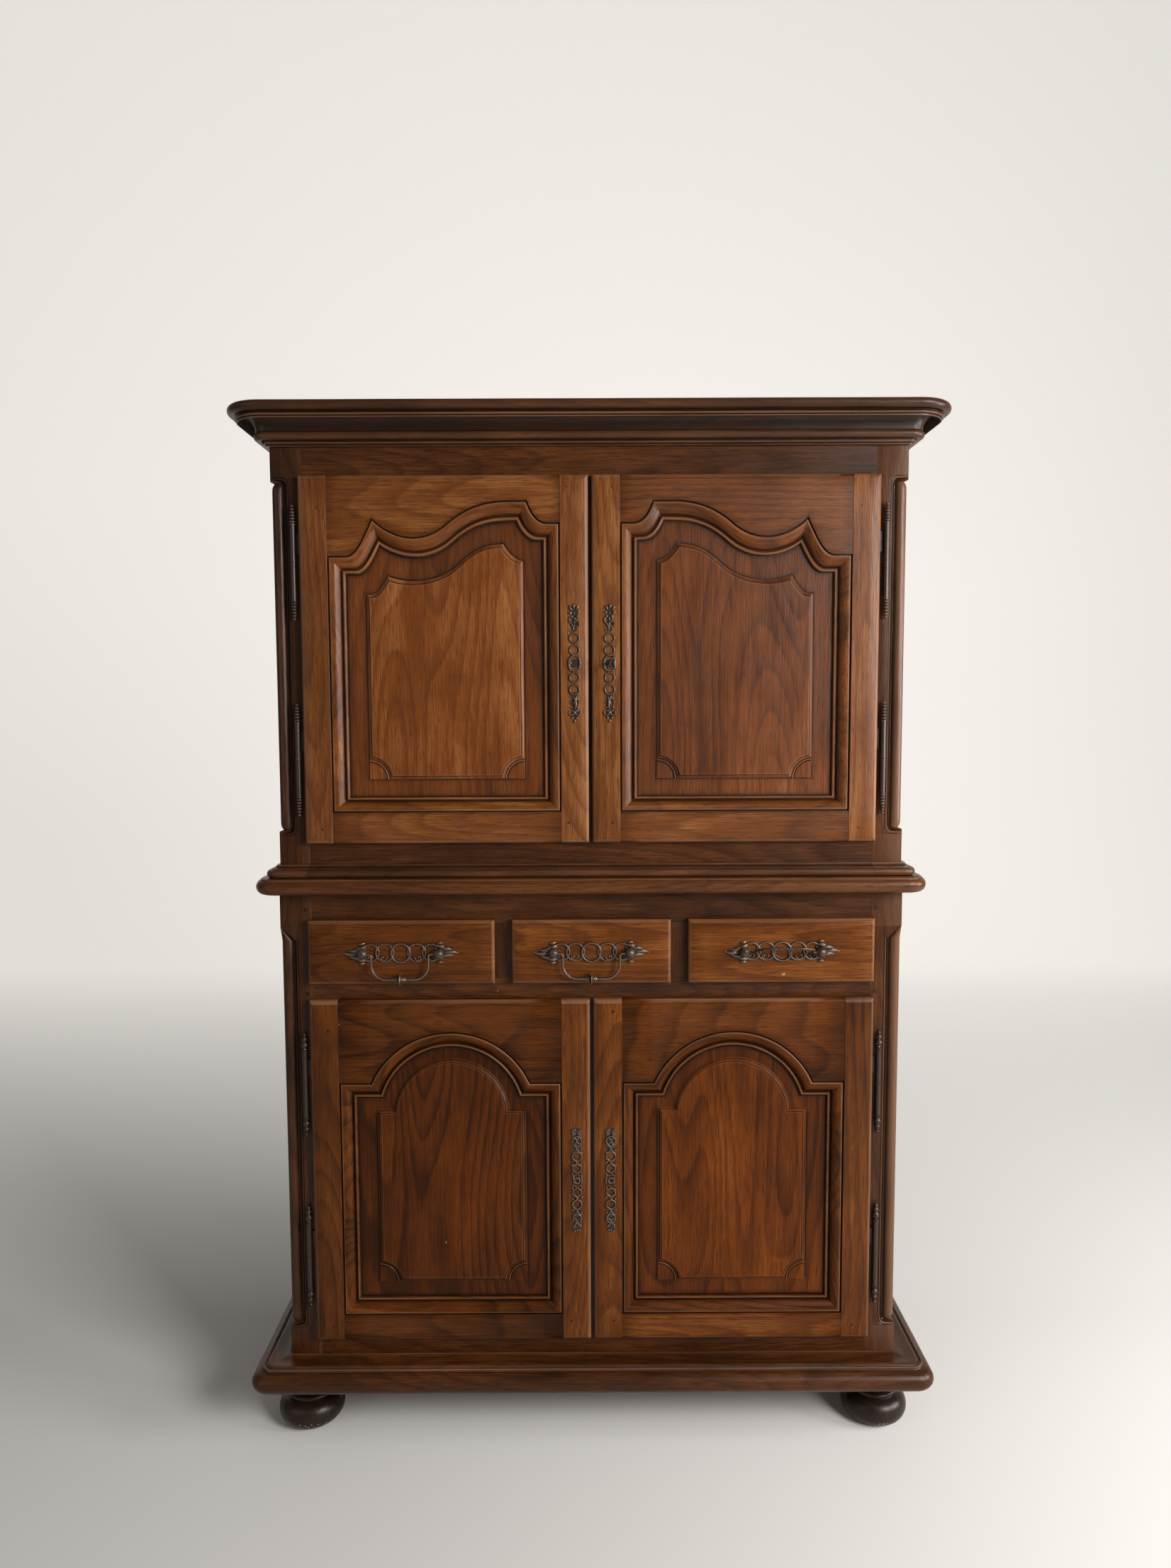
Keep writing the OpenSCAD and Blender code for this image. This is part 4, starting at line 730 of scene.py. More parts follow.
def upper_arch(s):
    """Outline of the upper door's shaped arch, a share s of the way from its opening to its
    raised field: straight shoulder, ogee to a cusp, long dip, crest, and a short ogee to the ledge.
    Each control point moves on a straight line with s."""
    def at(x0, d0, x1, d1):
        return np.array([x0 + (x1 - x0) * s, ARCH_TOP - d0 - (d1 - d0) * s])
    right = ARCH_RIGHT
    foot, cusp = at(90, 109, 141, 185), at(147, 34, 177, 148)
    dip, crest = at(299, 44, 318, 126), at(419, 0, 392, 86)
    peak, ledge = at(right - 66, 0, right - 115, 84), at(right - 24, 44, right - 80, 117)
    return np.concatenate([
        [at(57, 109, 132, 185)], [foot],
        bezier(foot, at(112, 109, 153, 185), at(124, 85, 163, 172), cusp, 14),
        bezier(cusp, at(185, 72, 215, 164), at(245, 91, 277, 163), dip, 20),
        bezier(dip, at(333, 14.5, 343, 104), at(372, 0, 360, 90), crest, 16),
        [peak],
        bezier(peak, at(470, 27, 420, 100), at(482, 44, 432, 114), ledge, 12),
        [at(right, 44, right - FIELD_IN, 119)]])


def upper_opening(d):
    """The upper opening's outline, d inside its edge."""
    foot = UPPER_DOOR["rail"] + d * 0.9
    left = UPPER_DOOR["stile"] + d
    return np.concatenate([upper_arch(d / FIELD_IN), [[ARCH_RIGHT - d, foot], [left, foot]]])


def notches(left, right, foot, e):
    """The quarter rounds cut from a field's lower corners, right then left, e inside its edge."""
    cut = math.degrees(math.asin(e / (NOTCH + e)))
    return np.concatenate([arc((right, foot), NOTCH + e, 90 + cut, 180 - cut, 14),
                           arc((left, foot), NOTCH + e, cut, 90 - cut, 14)])


def upper_field(e):
    """The upper raised field's outline, e inside its edge."""
    foot, left = UPPER_DOOR["rail"] + FIELD_IN * 0.9, UPPER_DOOR["stile"] + FIELD_IN
    return np.concatenate([upper_arch((FIELD_IN + e) / FIELD_IN),
                           notches(left, ARCH_RIGHT - FIELD_IN, foot, e)])


def lower_top(side_in, top_in):
    """Level shoulders and a round arch: radius 183.5 less top_in, its centre 251 under the
    door's top and 75 under the shoulders."""
    d, shoulder, radius = LOWER_DOOR, 75 - top_in, 183.5 - top_in
    centre = np.array([d["w"] / 2, d["h"] - 251])
    a = math.degrees(math.asin(shoulder / radius))
    y = centre[1] + shoulder
    return np.concatenate([[[d["stile"] + side_in, y]], arc(centre, radius, 180 - a, a, 48),
                           [[d["w"] - d["stile"] - side_in, y]]])


def lower_opening(d):
    """The lower opening's outline, d inside its edge."""
    door = LOWER_DOOR
    foot = door["rail"] + d
    return np.concatenate([lower_top(d, d), [[door["w"] - door["stile"] - d, foot],
                                             [door["stile"] + d, foot]]])


def lower_field(e):
    """The lower raised field's outline, e inside its edge."""
    side_in, rail_in = LOWER_FIELD_IN
    left = LOWER_DOOR["stile"] + side_in
    return np.concatenate([lower_top(side_in + e, 60 + e),
                           notches(left, LOWER_DOOR["w"] - left, LOWER_DOOR["rail"] + rail_in, e)])


# Section of the mitred moulding: distance in from the opening, height out of the frame's face,
# and wear, whose dark quirks are also painted shade and pale arrises painted highlights
MOULD = np.array([
    (0, 19.2, 0.2), (0.4, 16.4, -1), (1.2, 15.4, -1), (2.6, 15.6, -1), (3.3, 17.2, -0.8),
    (3.7, 19.0, 0.7), (4.6, 19.7, 0.9), (6, 19.8, 0.35), (9, 19.3, 0.1), (12, 18.3, 0),
    (15, 16.8, 0), (18, 14.7, 0), (21, 11.9, -0.1), (23.2, 9.0, -0.5), (24.8, 6.4, -1),
    (25.8, 5.2, -1), (27.0, 5.3, -1), (27.7, 7.4, -0.6), (28.8, 9.4, 0.4), (30.4, 10.3, 0.8),
    (32.2, 10.0, 0.5), (33.6, 8.7, 0), (34.6, 6.2, -0.8), (35, 3.0, -1)])
# Sections of the fields' edges, upper and lower doors: distance in from the field's edge, height
# and wear, with painted shade in the grooves and painted highlights on the arrises
FIELD_EDGE = np.array([
    (0, 3.6, -1), (0.3, 4.8, 0.2), (0.9, 5.5, 0.7), (3.2, 7.4, 0.1), (5.4, 9.1, -0.1),
    (6.1, 9.4, -0.8), (6.8, 9.3, -1), (7.2, 10.5, -0.2), (7.9, 11.1, 0.8), (9, 11.2, 0.3),
    (12, 11.2, 0)])
LOWER_EDGE = np.array([
    (0, 3.6, -1), (0.3, 5.0, 0.2), (1.0, 5.6, 0.7), (1.9, 5.4, -0.9), (2.4, 6.4, -0.2),
    (4.4, 8.2, 0.1), (6.2, 10.2, 0.3), (6.8, 10.9, 0.6), (7.4, 10.9, 0.1), (7.9, 10.1, -1),
    (8.7, 10.1, -1), (9.4, 11.1, 0.6), (12, 11.2, 0)])
# Inset border round a field: distance in from the opening, height, and dirt with painted shade,
# darkest against the moulding and the field
BORDER = np.array([
    (30, -3, 0), (30, 4, -1), (35, 4, -1), (36.5, 4, -0.7), (39.5, 4, -0.3), (45, 4, -0.08),
    (56, 4, 0), (66, 4, -0.05), (71, 4, -0.2), (73.2, 4, -0.6), (74.6, 3.8, -1)])
# Quarter round left in a field's lower corner: distance from the corner, height and wear, with
# painted shade in its groove and a painted highlight on its bead
PATCH = np.array([
    (0.5, 5.7, 0.3), (1.6, 5.8, 0.1), (12, 5.7, 0), (24, 5.6, 0), (33, 5.5, -0.1),
    (35.0, 5.3, -0.6), (35.8, 4.5, -1), (36.7, 4.9, -0.9), (37.5, 6.4, 0.3), (38.7, 7.0, 0.9),
    (39.8, 6.4, 0.2), (40.6, 5.0, -1), (41.6, 3.8, -1)])


def stack(outline, section):
    """Rows of points: the outline at each of the section's distances, at its height."""
    lines = [outline(d) for d in section[:, 0]]
    return np.array([np.column_stack([line, np.full(len(line), h)])
                     for line, h in zip(lines, section[:, 1])])


def corner_patch(skin, x, y, turn, board, tone):
    """The quarter round in a field's lower corner: PATCH swept about the corner (x, y) through 90
    degrees from `turn`, its two straight sides eased by 0.7 mm."""
    a = np.radians(turn + np.concatenate([[0, 1.5], np.linspace(4, 86, 15), [88.5, 90]]))
    us = x + PATCH[:, 0] * np.cos(a)[:, None]
    vs = y + PATCH[:, 0] * np.sin(a)[:, None]
    out = np.broadcast_to(PATCH[:, 1], us.shape).copy()
    worn = np.broadcast_to(PATCH[:, 2], us.shape).copy()
    for row in (0, -1):
        out[row] -= 0.7
        worn[row] = 0.5
    skin.relief(us, vs, out, 1.0, 1, board, tone, worn)


def loop_grain(rows, board):
    """Grain along a closed outline: distance run round it, then 1.6 mm a row across it."""
    steps = np.linalg.norm(np.diff(rows[0, :, :2], axis=0), axis=1)
    run = np.concatenate([[0], np.cumsum(steps)])
    across = np.arange(len(rows))[:, None] * 1.6
    grain = np.stack([np.broadcast_to(run, rows.shape[:2]), np.broadcast_to(across, rows.shape[:2]),
                      rows[..., 2]], -1)
    return grain.reshape(-1, 3) * MM + grain_start(board) * [1, 1, 0]


def eased(distance):
    """Height of a door's or drawer's face at a distance from its edge."""
    return PROUD + np.interp(distance, EASE_IN, EASE_UP)


# Drawers: word, middle, width of the face and tone; foot above the floor and height of the face
DRAWERS = (("left", -394.75, 387.5, -0.2), ("middle", 0, 330, -0.2), ("right", 394.75, 387.5, 0.0))
DRAWER_FOOT, DRAWER_H = 977.0, 134.0


def across_face(width, cuts):
    """Distances across a face: the eased band, even steps and the band again."""
    return np.concatenate([EASE_IN, np.linspace(EASE_IN[-1], width - EASE_IN[-1], cuts)[1:-1],
                           (width - EASE_IN)[::-1]])


def stile(skin, door, x0, x1, outer_low, board, tone):
    """An upright of a door: its face is flat and falls to the outer edges in the eased band; the
    joint with the rails has a 0.5 mm chamfer."""
    w, h = x1 - x0, door["h"]
    us = np.concatenate([EASE_IN, np.linspace(EASE_IN[-1], w - 0.5, 4)[1:-1], [w - 0.5, w]])
    up = across_face(h, 16)
    edge_of = np.minimum(us[None], np.minimum(up, h - up)[:, None])
    out = eased(edge_of)
    out[:, -1] -= 0.6
    x = x0 + us if outer_low else x1 - us
    wear = np.interp(edge_of, EASE_IN, EASE_WEAR_AND_SHADING)
    wear[:, -1] = -0.45
    if door is LOWER_DOOR:
        # Bare, rubbed end grain along the top of the lower doors, paler also as a painted highlight
        # on the top band, above a dark line
        wear[-8], wear[-7:] = -0.5, 0.8
    skin.relief(np.broadcast_to(x, out.shape), np.broadcast_to(up[:, None], out.shape), out, 0.0,
                1, board, tone, wear)


def rail(skin, door, xs, inner, top, board, tone):
    """A rail between the stiles: its outer edge has the eased band, its inner edge follows the
    outline inner(x), and columns stand at the outline's own points."""
    far = door["h"] if top else 0.0
    reach = np.abs(inner - far)
    share = np.linspace(0, 1, 6)[1:, None]
    band = EASE_IN[:, None] * np.ones_like(reach)
    d = np.concatenate([band, EASE_IN[-1] + (reach - EASE_IN[-1]) * share])
    out = eased(d)
    out[-1] = PROUD - 0.5
    out[:, [0, -1]] -= 0.6
    wear = np.interp(d, EASE_IN, EASE_WEAR_AND_SHADING)
    wear[:, [0, -1]] = -0.45
    wear[-1] = -0.5
    skin.relief(np.broadcast_to(xs, out.shape), far - d if top else far + d, out, 0.0, 0, board,
                tone, wear)


DOORS = {
    "upper": (UPPER_DOOR, upper_opening, upper_field, FIELD_EDGE, (FIELD_IN, FIELD_IN * 0.9),
              upper_arch(0.0)),
    "lower": (LOWER_DOOR, lower_opening, lower_field, LOWER_EDGE, LOWER_FIELD_IN,
              lower_top(0.0, 0.0))}


def door_parts(level, word, side, seed, tones, sizes):
    """One door: stiles, rails, inset back, pegs and mitred moulding in one piece, the panel with
    its raised field in another. Its boards are numbered from `seed`. The tones are those of the
    two stiles, top rail, bottom rail, moulding, border and field."""
    door, outline, edge_outline, field_edge, field_in, arch = DOORS[level]
    name = f"{level}_{word}"
    place = door_room(door["half"], door["foot"], side)
    w, h, s, r = door["w"], door["h"], door["stile"], door["rail"]
    skin = Skin(place)
    stile(skin, door, 0.0, s, True, seed, tones[0])
    stile(skin, door, w - s, w, False, seed + 1, tones[1])
    rail(skin, door, arch[:, 0], arch[:, 1], True, seed + 2, tones[2])
    bottom = np.linspace(s, w - s, 12)
    rail(skin, door, bottom, np.full(12, r), False, seed + 3, tones[3])
    # Timbers behind the face, which the eased band runs out on
    head, under = h - BACK_IN, arch[:, 1].max() - 4
    for x0, z0, x1, z1, way, k in ((BACK_IN, BACK_IN, s, head, 1, 4),
                                   (w - s, BACK_IN, w - 19.5, head, 1, 5),
                                   (s, BACK_IN, w - s, r, 0, 6), (s, under, w - s, head, 0, 7)):
        skin.timber((x0, z0, -8), (x1, z1, 0.2), way, 0.8, seed + k, -0.1)
    peg = sizes.peg_d / 2
    for u, v in ((39, h - 64), (w - 42, h - 25), (w - 42, 42), (36, 30)):
        skin.turned([(peg, 0), (peg, 0.1), (peg - 0.6, 0.3), (0.4, 0.4)], (u, v, PROUD - 0.15), 2,
                    12, seed + u, -0.4, -0.2)
    section = np.concatenate([MOULD, [(35, -7, 0), (0, -7, 0)]])
    rows = stack(outline, section)
    skin.tube(rows, 0, seed + 8, tones[4], section[:, 2:], True, loop_grain(rows, seed + 8))
    low = "" if level == "upper" else "_low"
    skin.piece(name + "_frame", FINISH["frame" + low], name + "_door", "door_wood",
               [name + "_door_frame"])
    skin = Skin(place)
    rows = stack(outline, BORDER)
    # Soot and old wax lie thickest under the arch, and painted shade darkens it there too
    soot_and_shade = np.clip((rows[..., 1] - h + 250) / 130, 0, 1) * sizes.soot_and_shade
    skin.tube(rows, 1, seed + 9, tones[5], np.maximum(BORDER[:, 2:] - soot_and_shade, -1))
    rows = stack(edge_outline, field_edge)
    rows = np.concatenate([rows[:1] - [0, 0, 2.0], rows])
    worn = np.concatenate([[-1.0], field_edge[:, 2]])[:, None]
    skin.tube(rows, 1, seed + 9, tones[6], worn)
    for x, turn in ((s + field_in[0], 0), (w - s - field_in[0], 90)):
        corner_patch(skin, x, r + field_in[1], turn, seed + 9, tones[6])
    skin.piece(name + "_field", FINISH["field" + low], name + "_door", "panel_wood",
               [name + "_door_panel"])


# ---------------------------------------------------------------- ironwork

def ring_path(x, y, r, out, n=28, a0=0.0, a1=360.0, r_end=None):
    """Circle or spiral in the plate's plane: angle from a0 to a1, radius from r to r_end."""
    r_end = r if r_end is None else r_end
    closed = abs(a1 - a0) >= 360 and r_end == r
    a = np.radians(np.linspace(a0, a1, n, endpoint=not closed))
    rr = np.linspace(r, r_end, n)
    return np.stack([x + rr * np.cos(a), y + rr * np.sin(a), np.full(n, out)], 1)


def taper(n, full, tip=0.25):
    """Half widths that swell from a thin tip to full and back: full (tip + (1 - tip) sin(pi t))."""
    return full * (tip + (1 - tip) * np.sin(np.linspace(0.08, math.pi - 0.08, n)))


def loop(skin, x, y, r, out, bar=1.7, gap=None):
    """A whole ring, or with a gap (start, end in degrees) a C that thins to its ends and
    closes in a bead."""
    if gap is None:
        skin.strap(ring_path(x, y, r, out), bar, bar * 0.9, closed=True)
    else:
        path = ring_path(x, y, r, out, 26, gap[1], gap[0] + 360)
        skin.strap(path, taper(26, bar * 1.15, 0.4), taper(26, bar, 0.5))
        for end in (path[0], path[-1]):
            skin.bead(end[0], end[1], out - 0.3, bar * 1.15)


def leaf(skin, x, y, angle, length, width, out, lift=1.2):
    """A pointed leaf with a lifted middle: half width width sin(pi t^0.8), bent a little."""
    t = np.linspace(0, 1, 9)
    a = math.radians(angle)
    side = np.sin(math.pi * t) * length * 0.08
    path = np.stack([x + length * t * math.cos(a) - side * math.sin(a),
                     y + length * t * math.sin(a) + side * math.cos(a),
                     out + lift * np.sin(math.pi * t)], 1)
    wide = np.maximum(width * np.sin(math.pi * np.clip(t, 0.04, 0.96) ** 0.8), 0.25)
    skin.strap(path, wide, np.maximum(wide * 0.45, 0.3), 8)


# Hinges of the upper and lower doors: the pins from the middle, the heights of the two joints,
# and the length of half a barrel
HINGES = {"upper": (600.5, (1444, 1844), 78), "lower": (602.5, (386, 761), 72)}


def hinge(skin, x, z, barrel, upper, fixed):
    """Half a fiche hinge turned about the pin: barrel with a collar at the joint, then a finial of
    stacked rings (upper doors) or two balls (lower doors). The fixed half hangs below."""
    r = 5.4
    profile = [(r, 0.3), (r, 2.0), (r + 0.5, 2.4), (r + 0.5, 3.6), (r, 4.0), (r, barrel - 3),
               (r + 0.6, barrel - 2.4), (r + 0.6, barrel - 0.6), (r, barrel)]
    if upper:
        finial = []
        for k, big in enumerate((5.7, 5.4, 5.1, 4.7, 4.2)):
            foot = 1.0 + k * 6.2
            finial += [(big - 1.6, foot), (big, foot + 1.3), (big + 0.3, foot + 2.6),
                       (big, foot + 3.9), (big - 1.6, foot + 5.2)]
        finial += [(2.2, 32.6), (3.2, 34.2), (3.2, 36.0), (1.8, 37.8), (0.4, 38.7)]
    else:
        finial = [(7.4, 0.8), (7.6, 1.8), (7.0, 2.6), (4.2, 3.4)]
        for centre, big in ((12.4, 7.3), (24.6, 5.6)):
            finial += [(big * math.cos(a), centre + big * 1.05 * math.sin(a))
                       for a in np.radians([-62, -40, -20, 0, 20, 40, 62])]
            finial += [(3.2, centre + big + 0.1), (4.6, centre + big + 1.0)]
        finial += [(3.0, 33.0), (4.0, 34.6), (3.2, 36.8), (0.4, 38.7)]
    profile = np.concatenate([profile, np.array(finial) + [0, barrel]])
    worn = turned_wear_and_shading(profile) * 0.35
    skin.turned(profile * [1, -1 if fixed else 1], (x, -8.0, z), 2, 20, edge=worn)


def upper_plate(skin, x, z, flip):
    """The upper doors' pierced plate, centred on the keyhole: leafy crown, a C curl beside an S,
    two rings, the keyhole's rounded lozenge, two rings, crossed leaves and a beaded trefoil."""
    out = 1.6
    for dx, dy, a, length in ((0, 108, 90, 14), (-4, 106, 118, 13), (4, 106, 62, 13),
                              (-5, 101, 160, 8), (5, 101, 20, 8), (-3, 96, 230, 8),
                              (3, 96, 310, 8), (0, 94, 270, 9)):
        leaf(skin, x + dx, z + dy, a, length, 2.3, out)
    for dx, dy in ((-8, 112), (8, 112), (0, 101), (-6, 95), (7, 97)):
        skin.bead(x + dx, z + dy, 1.0, 1.8)
    loop(skin, x - flip * 4.5, z + 79, 5.6, out, 1.6, (150, 215))
    t = np.linspace(0, 1, 18)
    curl = np.stack([x + flip * (6 + 4.5 * np.sin(t * 2 * math.pi)), z + 96 - 34 * t,
                     np.full(18, out)], 1)
    skin.strap(curl, taper(18, 1.9, 0.4), taper(18, 1.6, 0.4))
    for dx, dy in ((6, 70), (9, 66), (4, 65)):
        skin.bead(x + flip * dx, z + dy, 1.0, 1.6)
    # Thin dark sheet behind the openwork: painted shadow and dirt in its holes
    for dy, r in ((104, 8), (92, 5.5), (79, 9), (69, 5.5), (0, 9), (-65, 6.5), (-79, 8.5),
                  (-91, 7), (-104, 8.5)):
        skin.turned([(r, 0.1), (r, 0.45), (0.5, 0.5)], (x, z + dy, 0.0), 2, 16, edge=-0.4)
    for dy in (50.5, 26.5, -28.5, -53.5):
        loop(skin, x, z + dy, 9.7, out, 1.9)
    skin.strap(ring_path(x, z + 50.5, 9, 0.9, 12, 35, 145), 0.8, 0.7)
    a = np.linspace(0, 2 * math.pi, 36, endpoint=False)
    lozenge = np.stack([x + 11.2 * np.sign(np.cos(a)) * np.abs(np.cos(a)) ** 0.7,
                        z + 15.2 * np.sign(np.sin(a)) * np.abs(np.sin(a)) ** 0.8,
                        np.full(36, out)], 1)
    skin.strap(lozenge, 2.3, 2.0, closed=True)
    for s in (-1, 1):
        leaf(skin, x + s * 10, z + 8, 270, 16, 2.6, out)
        skin.bead(x + s * 8, z + 13.5, 1.2, 2.0)
        skin.bead(x + s * 8, z - 13.5, 1.2, 2.0)
        leaf(skin, x + s * 4, z - 66, 270 - s * 24, 20, 2.2, out)
        loop(skin, x + s * 6.5, z - 100, 5.0, out, 1.6, (60, 150) if s < 0 else (30, 120))
        skin.bead(x + s * 8.5, z - 79, 1.0, 2.0)
        skin.bead(x + s * 6.5, z - 89, 1.0, 2.3)
    leaf(skin, x, z - 68, 270, 30, 2.4, out, 1.8)
    for dx, dy, r in ((0, -99, 3.0), (-4.5, -110, 2.6), (4.5, -110, 2.8), (0, -117, 3.2)):
        skin.bead(x + dx, z + dy, 1.0, r)


def lower_plate(skin, x, z, flip):
    """The lower doors' pierced plate, centred on the keyhole: two coils, a ring with crossing
    scrolls, twisted links, the boss round the keyhole, rings and a beaded end."""
    out, boss = 1.6, 3.6
    for dx, dy, r in ((-6, 106, 3.4), (6, 108, 3.6), (6.5, 101, 2.8), (-6, 100, 2.4)):
        loop(skin, x + flip * dx, z + dy, r, out, 1.5)
        skin.bead(x + flip * dx, z + dy, 1.2, r * 0.6)
    # Thin dark sheets behind the openwork: painted shadow and dirt in its holes
    for dy in (104, 86, 69, -66, -83, -104):
        skin.turned([(9, 0.1), (9, 0.35), (0.5, 0.4)], (x, z + dy, 0.0), 2, 16, edge=-1.0)
    for dy, r in ((86, 11.2), (52, 11.2), (27, 10.6), (-26, 10.4), (-52, 11.2), (-83, 10.6)):
        loop(skin, x, z + dy, r - 1.4, out, 1.9, None if abs(dy) < 80 else (200, 250))
    # Links: two bars that cross, the one over the other
    t = np.linspace(-1, 1, 14)
    for dy, tilt in ((69, 1), (39, -1), (-66, 1), (-38, -1), (86, -1), (-90, 1)):
        for s in (-1, 1):
            bar = np.stack([x + s * tilt * (9.5 * t - 2.5 * np.sin(t * 3)), z + dy + 9 * t,
                            out + 0.5 * s * t], 1)
            skin.strap(bar, taper(14, 2.1, 0.45), taper(14, 1.8, 0.45))
    for dx, dy in ((-9.5, 66), (9.5, 61), (-10, 34), (9, 40), (-9, -40), (10, -36), (-9.5, -64),
                   (9, -70), (-6, -101), (6, -99), (0, -108), (-5, -110), (5, -108)):
        skin.bead(x + dx, z + dy, 1.0, 2.4)
    skin.strap(ring_path(x, z, boss + 2.2, out), 2.2, 1.9, closed=True)
    for s in (-1, 1):
        leaf(skin, x + s * 8.5, z + 12, 270, 24, 2.4, out)
        for dy in (15, -15):
            loop(skin, x + s * 6, z + dy, 4.2, out, 1.4, (90, 150))


# A pull's height over its drawer's foot, and how far its bosses stand to either side
PULL_UP, BOSS = 67.0, 79


def pull(skin):
    """A drawer pull's plate about its own middle: a full ring, four loops that end in scrolls, two
    domed bosses ringed with beads and a leafy point at each end."""
    out, y = PROUD + 1.7, PULL_UP
    loop(skin, 0, y, 19.6, out, 2.6)
    skin.strap(ring_path(0, y, 14.6, out - 0.4, 30, 205, 300), taper(30, 1.6), taper(30, 1.3))
    for s in (-1, 1):
        for x, r in ((33, 18.4), (63, 17.6)):
            skin.strap(ring_path(s * x, y + 0.5, r, out - 0.5, 40), 2.3, 2.0, closed=True)
            curl = ring_path(s * (x + 4), y - 9, r * 0.5, out, 26, 160 if s > 0 else 20,
                             430 if s > 0 else -250, r * 0.16)
            skin.strap(curl, taper(26, 1.9, 0.5), taper(26, 1.7, 0.5))
            skin.bead(s * (x + 4), y - 9, PROUD + 1.2, 2.4)
            skin.bead(s * (x - 15.5), y + 11, PROUD + 1.0, 2.6)
        for dx, dy, a, length, wide in ((70, 15.5, -16, 27, 4.8), (70, -15.5, 16, 27, 4.8),
                                        (80, 9, -8, 29, 5.0), (80, -9, 8, 29, 5.0),
                                        (74, 21, -4, 14, 3.2), (74, -21, 4, 14, 3.2),
                                        (88, 0, 0, 31, 5.4)):
            leaf(skin, s * dx, y + dy, a if s > 0 else 180 - a, length, wide, out - 0.2, 2.2)
        skin.bead(s * 118, y, PROUD + 0.8, 2.0)
        dome = [(10.8, 0.2), (10.8, 6)] + oval(0, 10.3, 10.9, 10.6, -14, 85, 9)
        skin.turned(dome, (s * BOSS, y, PROUD), 2, 20)
        for a in np.radians(18 + 36 * np.arange(10)):
            skin.bead(s * BOSS + 11.8 * math.cos(a), y + 11.8 * math.sin(a), PROUD + 1.4, 2.1)


def bail(skin, angle, twisted):
    """The swinging bar in drawer coordinates: a U with rounded feet, its legs turned out into the
    bosses, turned by angle about the line through them. It has a disc at its middle, or is
    twisted like a rope and has none."""
    top, drop, out = 5.0, 53.0, PROUD + 13.5
    quarter = np.radians(np.linspace(0, 90, 9))
    right = [(77.0, 0.0), (70.0, 0.0)]
    right += [(64 - top * math.sin(a), -top + top * math.cos(a)) for a in quarter]
    right += [(59.0, -23.0 + 4.5 * k) for k in (2, 1)]
    right += [(29 + 30 * math.cos(a), -23 - 30 * math.sin(a)) for a in quarter]
    right += [(20.0, -drop), (12.0, -drop), (8.5, -drop)]
    flat = np.array(right + [(-x, y) for x, y in right[::-1]])
    steps = np.concatenate([[0], np.cumsum(np.linalg.norm(np.diff(flat, axis=0), axis=1))])
    even = np.linspace(0, steps[-1], 150 if twisted else 90)
    flat = np.stack([np.interp(even, steps, flat[:, 0]), np.interp(even, steps, flat[:, 1])], 1)
    # A little thicker 18 mm either side of the middle
    beside = np.abs(flat[:, 0])
    radius = np.where(beside < 60, 2.75, 2.6) + 0.5 * np.exp(-(beside - 18) ** 2 / 90)
    radius = np.minimum(radius, 2.95)
    c, s = math.cos(math.radians(angle)), math.sin(math.radians(angle))
    path = np.stack([flat[:, 0], PULL_UP + flat[:, 1] * c, out - flat[:, 1] * s], 1)
    skin.strap(path, radius, radius, 12, lobes=3 if twisted else 0, twist=0.55)
    if twisted:
        return
    half = [(3.0, -11.5), (4.4, -10.6), (4.6, -9.4), (3.6, -8.6), (5.0, -7.6), (5.2, -6.2),
            (4.2, -5.2), (6.0, -4.4), (7.6, -2.6), (9.8, -1.2), (12.0, -0.7)]
    disc = half + [(12.4, 0)] + [(r, -h) for r, h in half[::-1]]
    skin.turned(disc, (0.0, PULL_UP - drop * c, out + drop * s), 0, 28)


# ---------------------------------------------------------------- settings

class BuffetColours(bpy.types.PropertyGroup):
    """Stain and wax colours, as sRGB hex codes"""
    carcase_deep: bpy.props.StringProperty(
        name="Carcase, deep", description="Darkest carcase stain", default="#170a03")
    carcase_mid: bpy.props.StringProperty(
        name="Carcase, middle", description="Usual carcase stain", default="#3f2009")
    carcase_light: bpy.props.StringProperty(
        name="Carcase, light", description="Worn carcase stain", default="#653713")
    frame_deep: bpy.props.StringProperty(
        name="Upper frames, deep", description="Darkest stain of the upper doors",
        default="#351805")
    frame_mid: bpy.props.StringProperty(
        name="Upper frames, middle", description="Usual stain of the upper doors",
        default="#67360c")
    frame_light: bpy.props.StringProperty(
        name="Upper frames, light", description="Worn stain of the upper doors",
        default="#95602f")
    field_deep: bpy.props.StringProperty(
        name="Upper fields, deep", description="Darkest stain of their raised fields",
        default="#3f1d07")
    field_mid: bpy.props.StringProperty(
        name="Upper fields, middle", description="Usual stain of their raised fields",
        default="#6a360c")
    field_light: bpy.props.StringProperty(
        name="Upper fields, light", description="Worn stain of their raised fields",
        default="#935c2e")
    low_frame_deep: bpy.props.StringProperty(
        name="Lower frames, deep", description="Darkest stain of the lower doors and drawers",
        default="#2c1404")
    low_frame_mid: bpy.props.StringProperty(
        name="Lower frames, middle", description="Usual stain of the lower doors and drawers",
        default="#5c2e08")
    low_frame_light: bpy.props.StringProperty(
        name="Lower frames, light", description="Worn stain of the lower doors and drawers",
        default="#8b5322")
    low_field_deep: bpy.props.StringProperty(
        name="Lower fields, deep", description="Darkest stain of their raised fields",
        default="#331604")
    low_field_mid: bpy.props.StringProperty(
        name="Lower fields, middle", description="Usual stain of their raised fields",
        default="#612e06")
    low_field_light: bpy.props.StringProperty(
        name="Lower fields, light", description="Worn stain of their raised fields",
        default="#8a4f1e")
    floor: bpy.props.StringProperty(name="Floor", description="Studio floor", default="#dcd8d3")


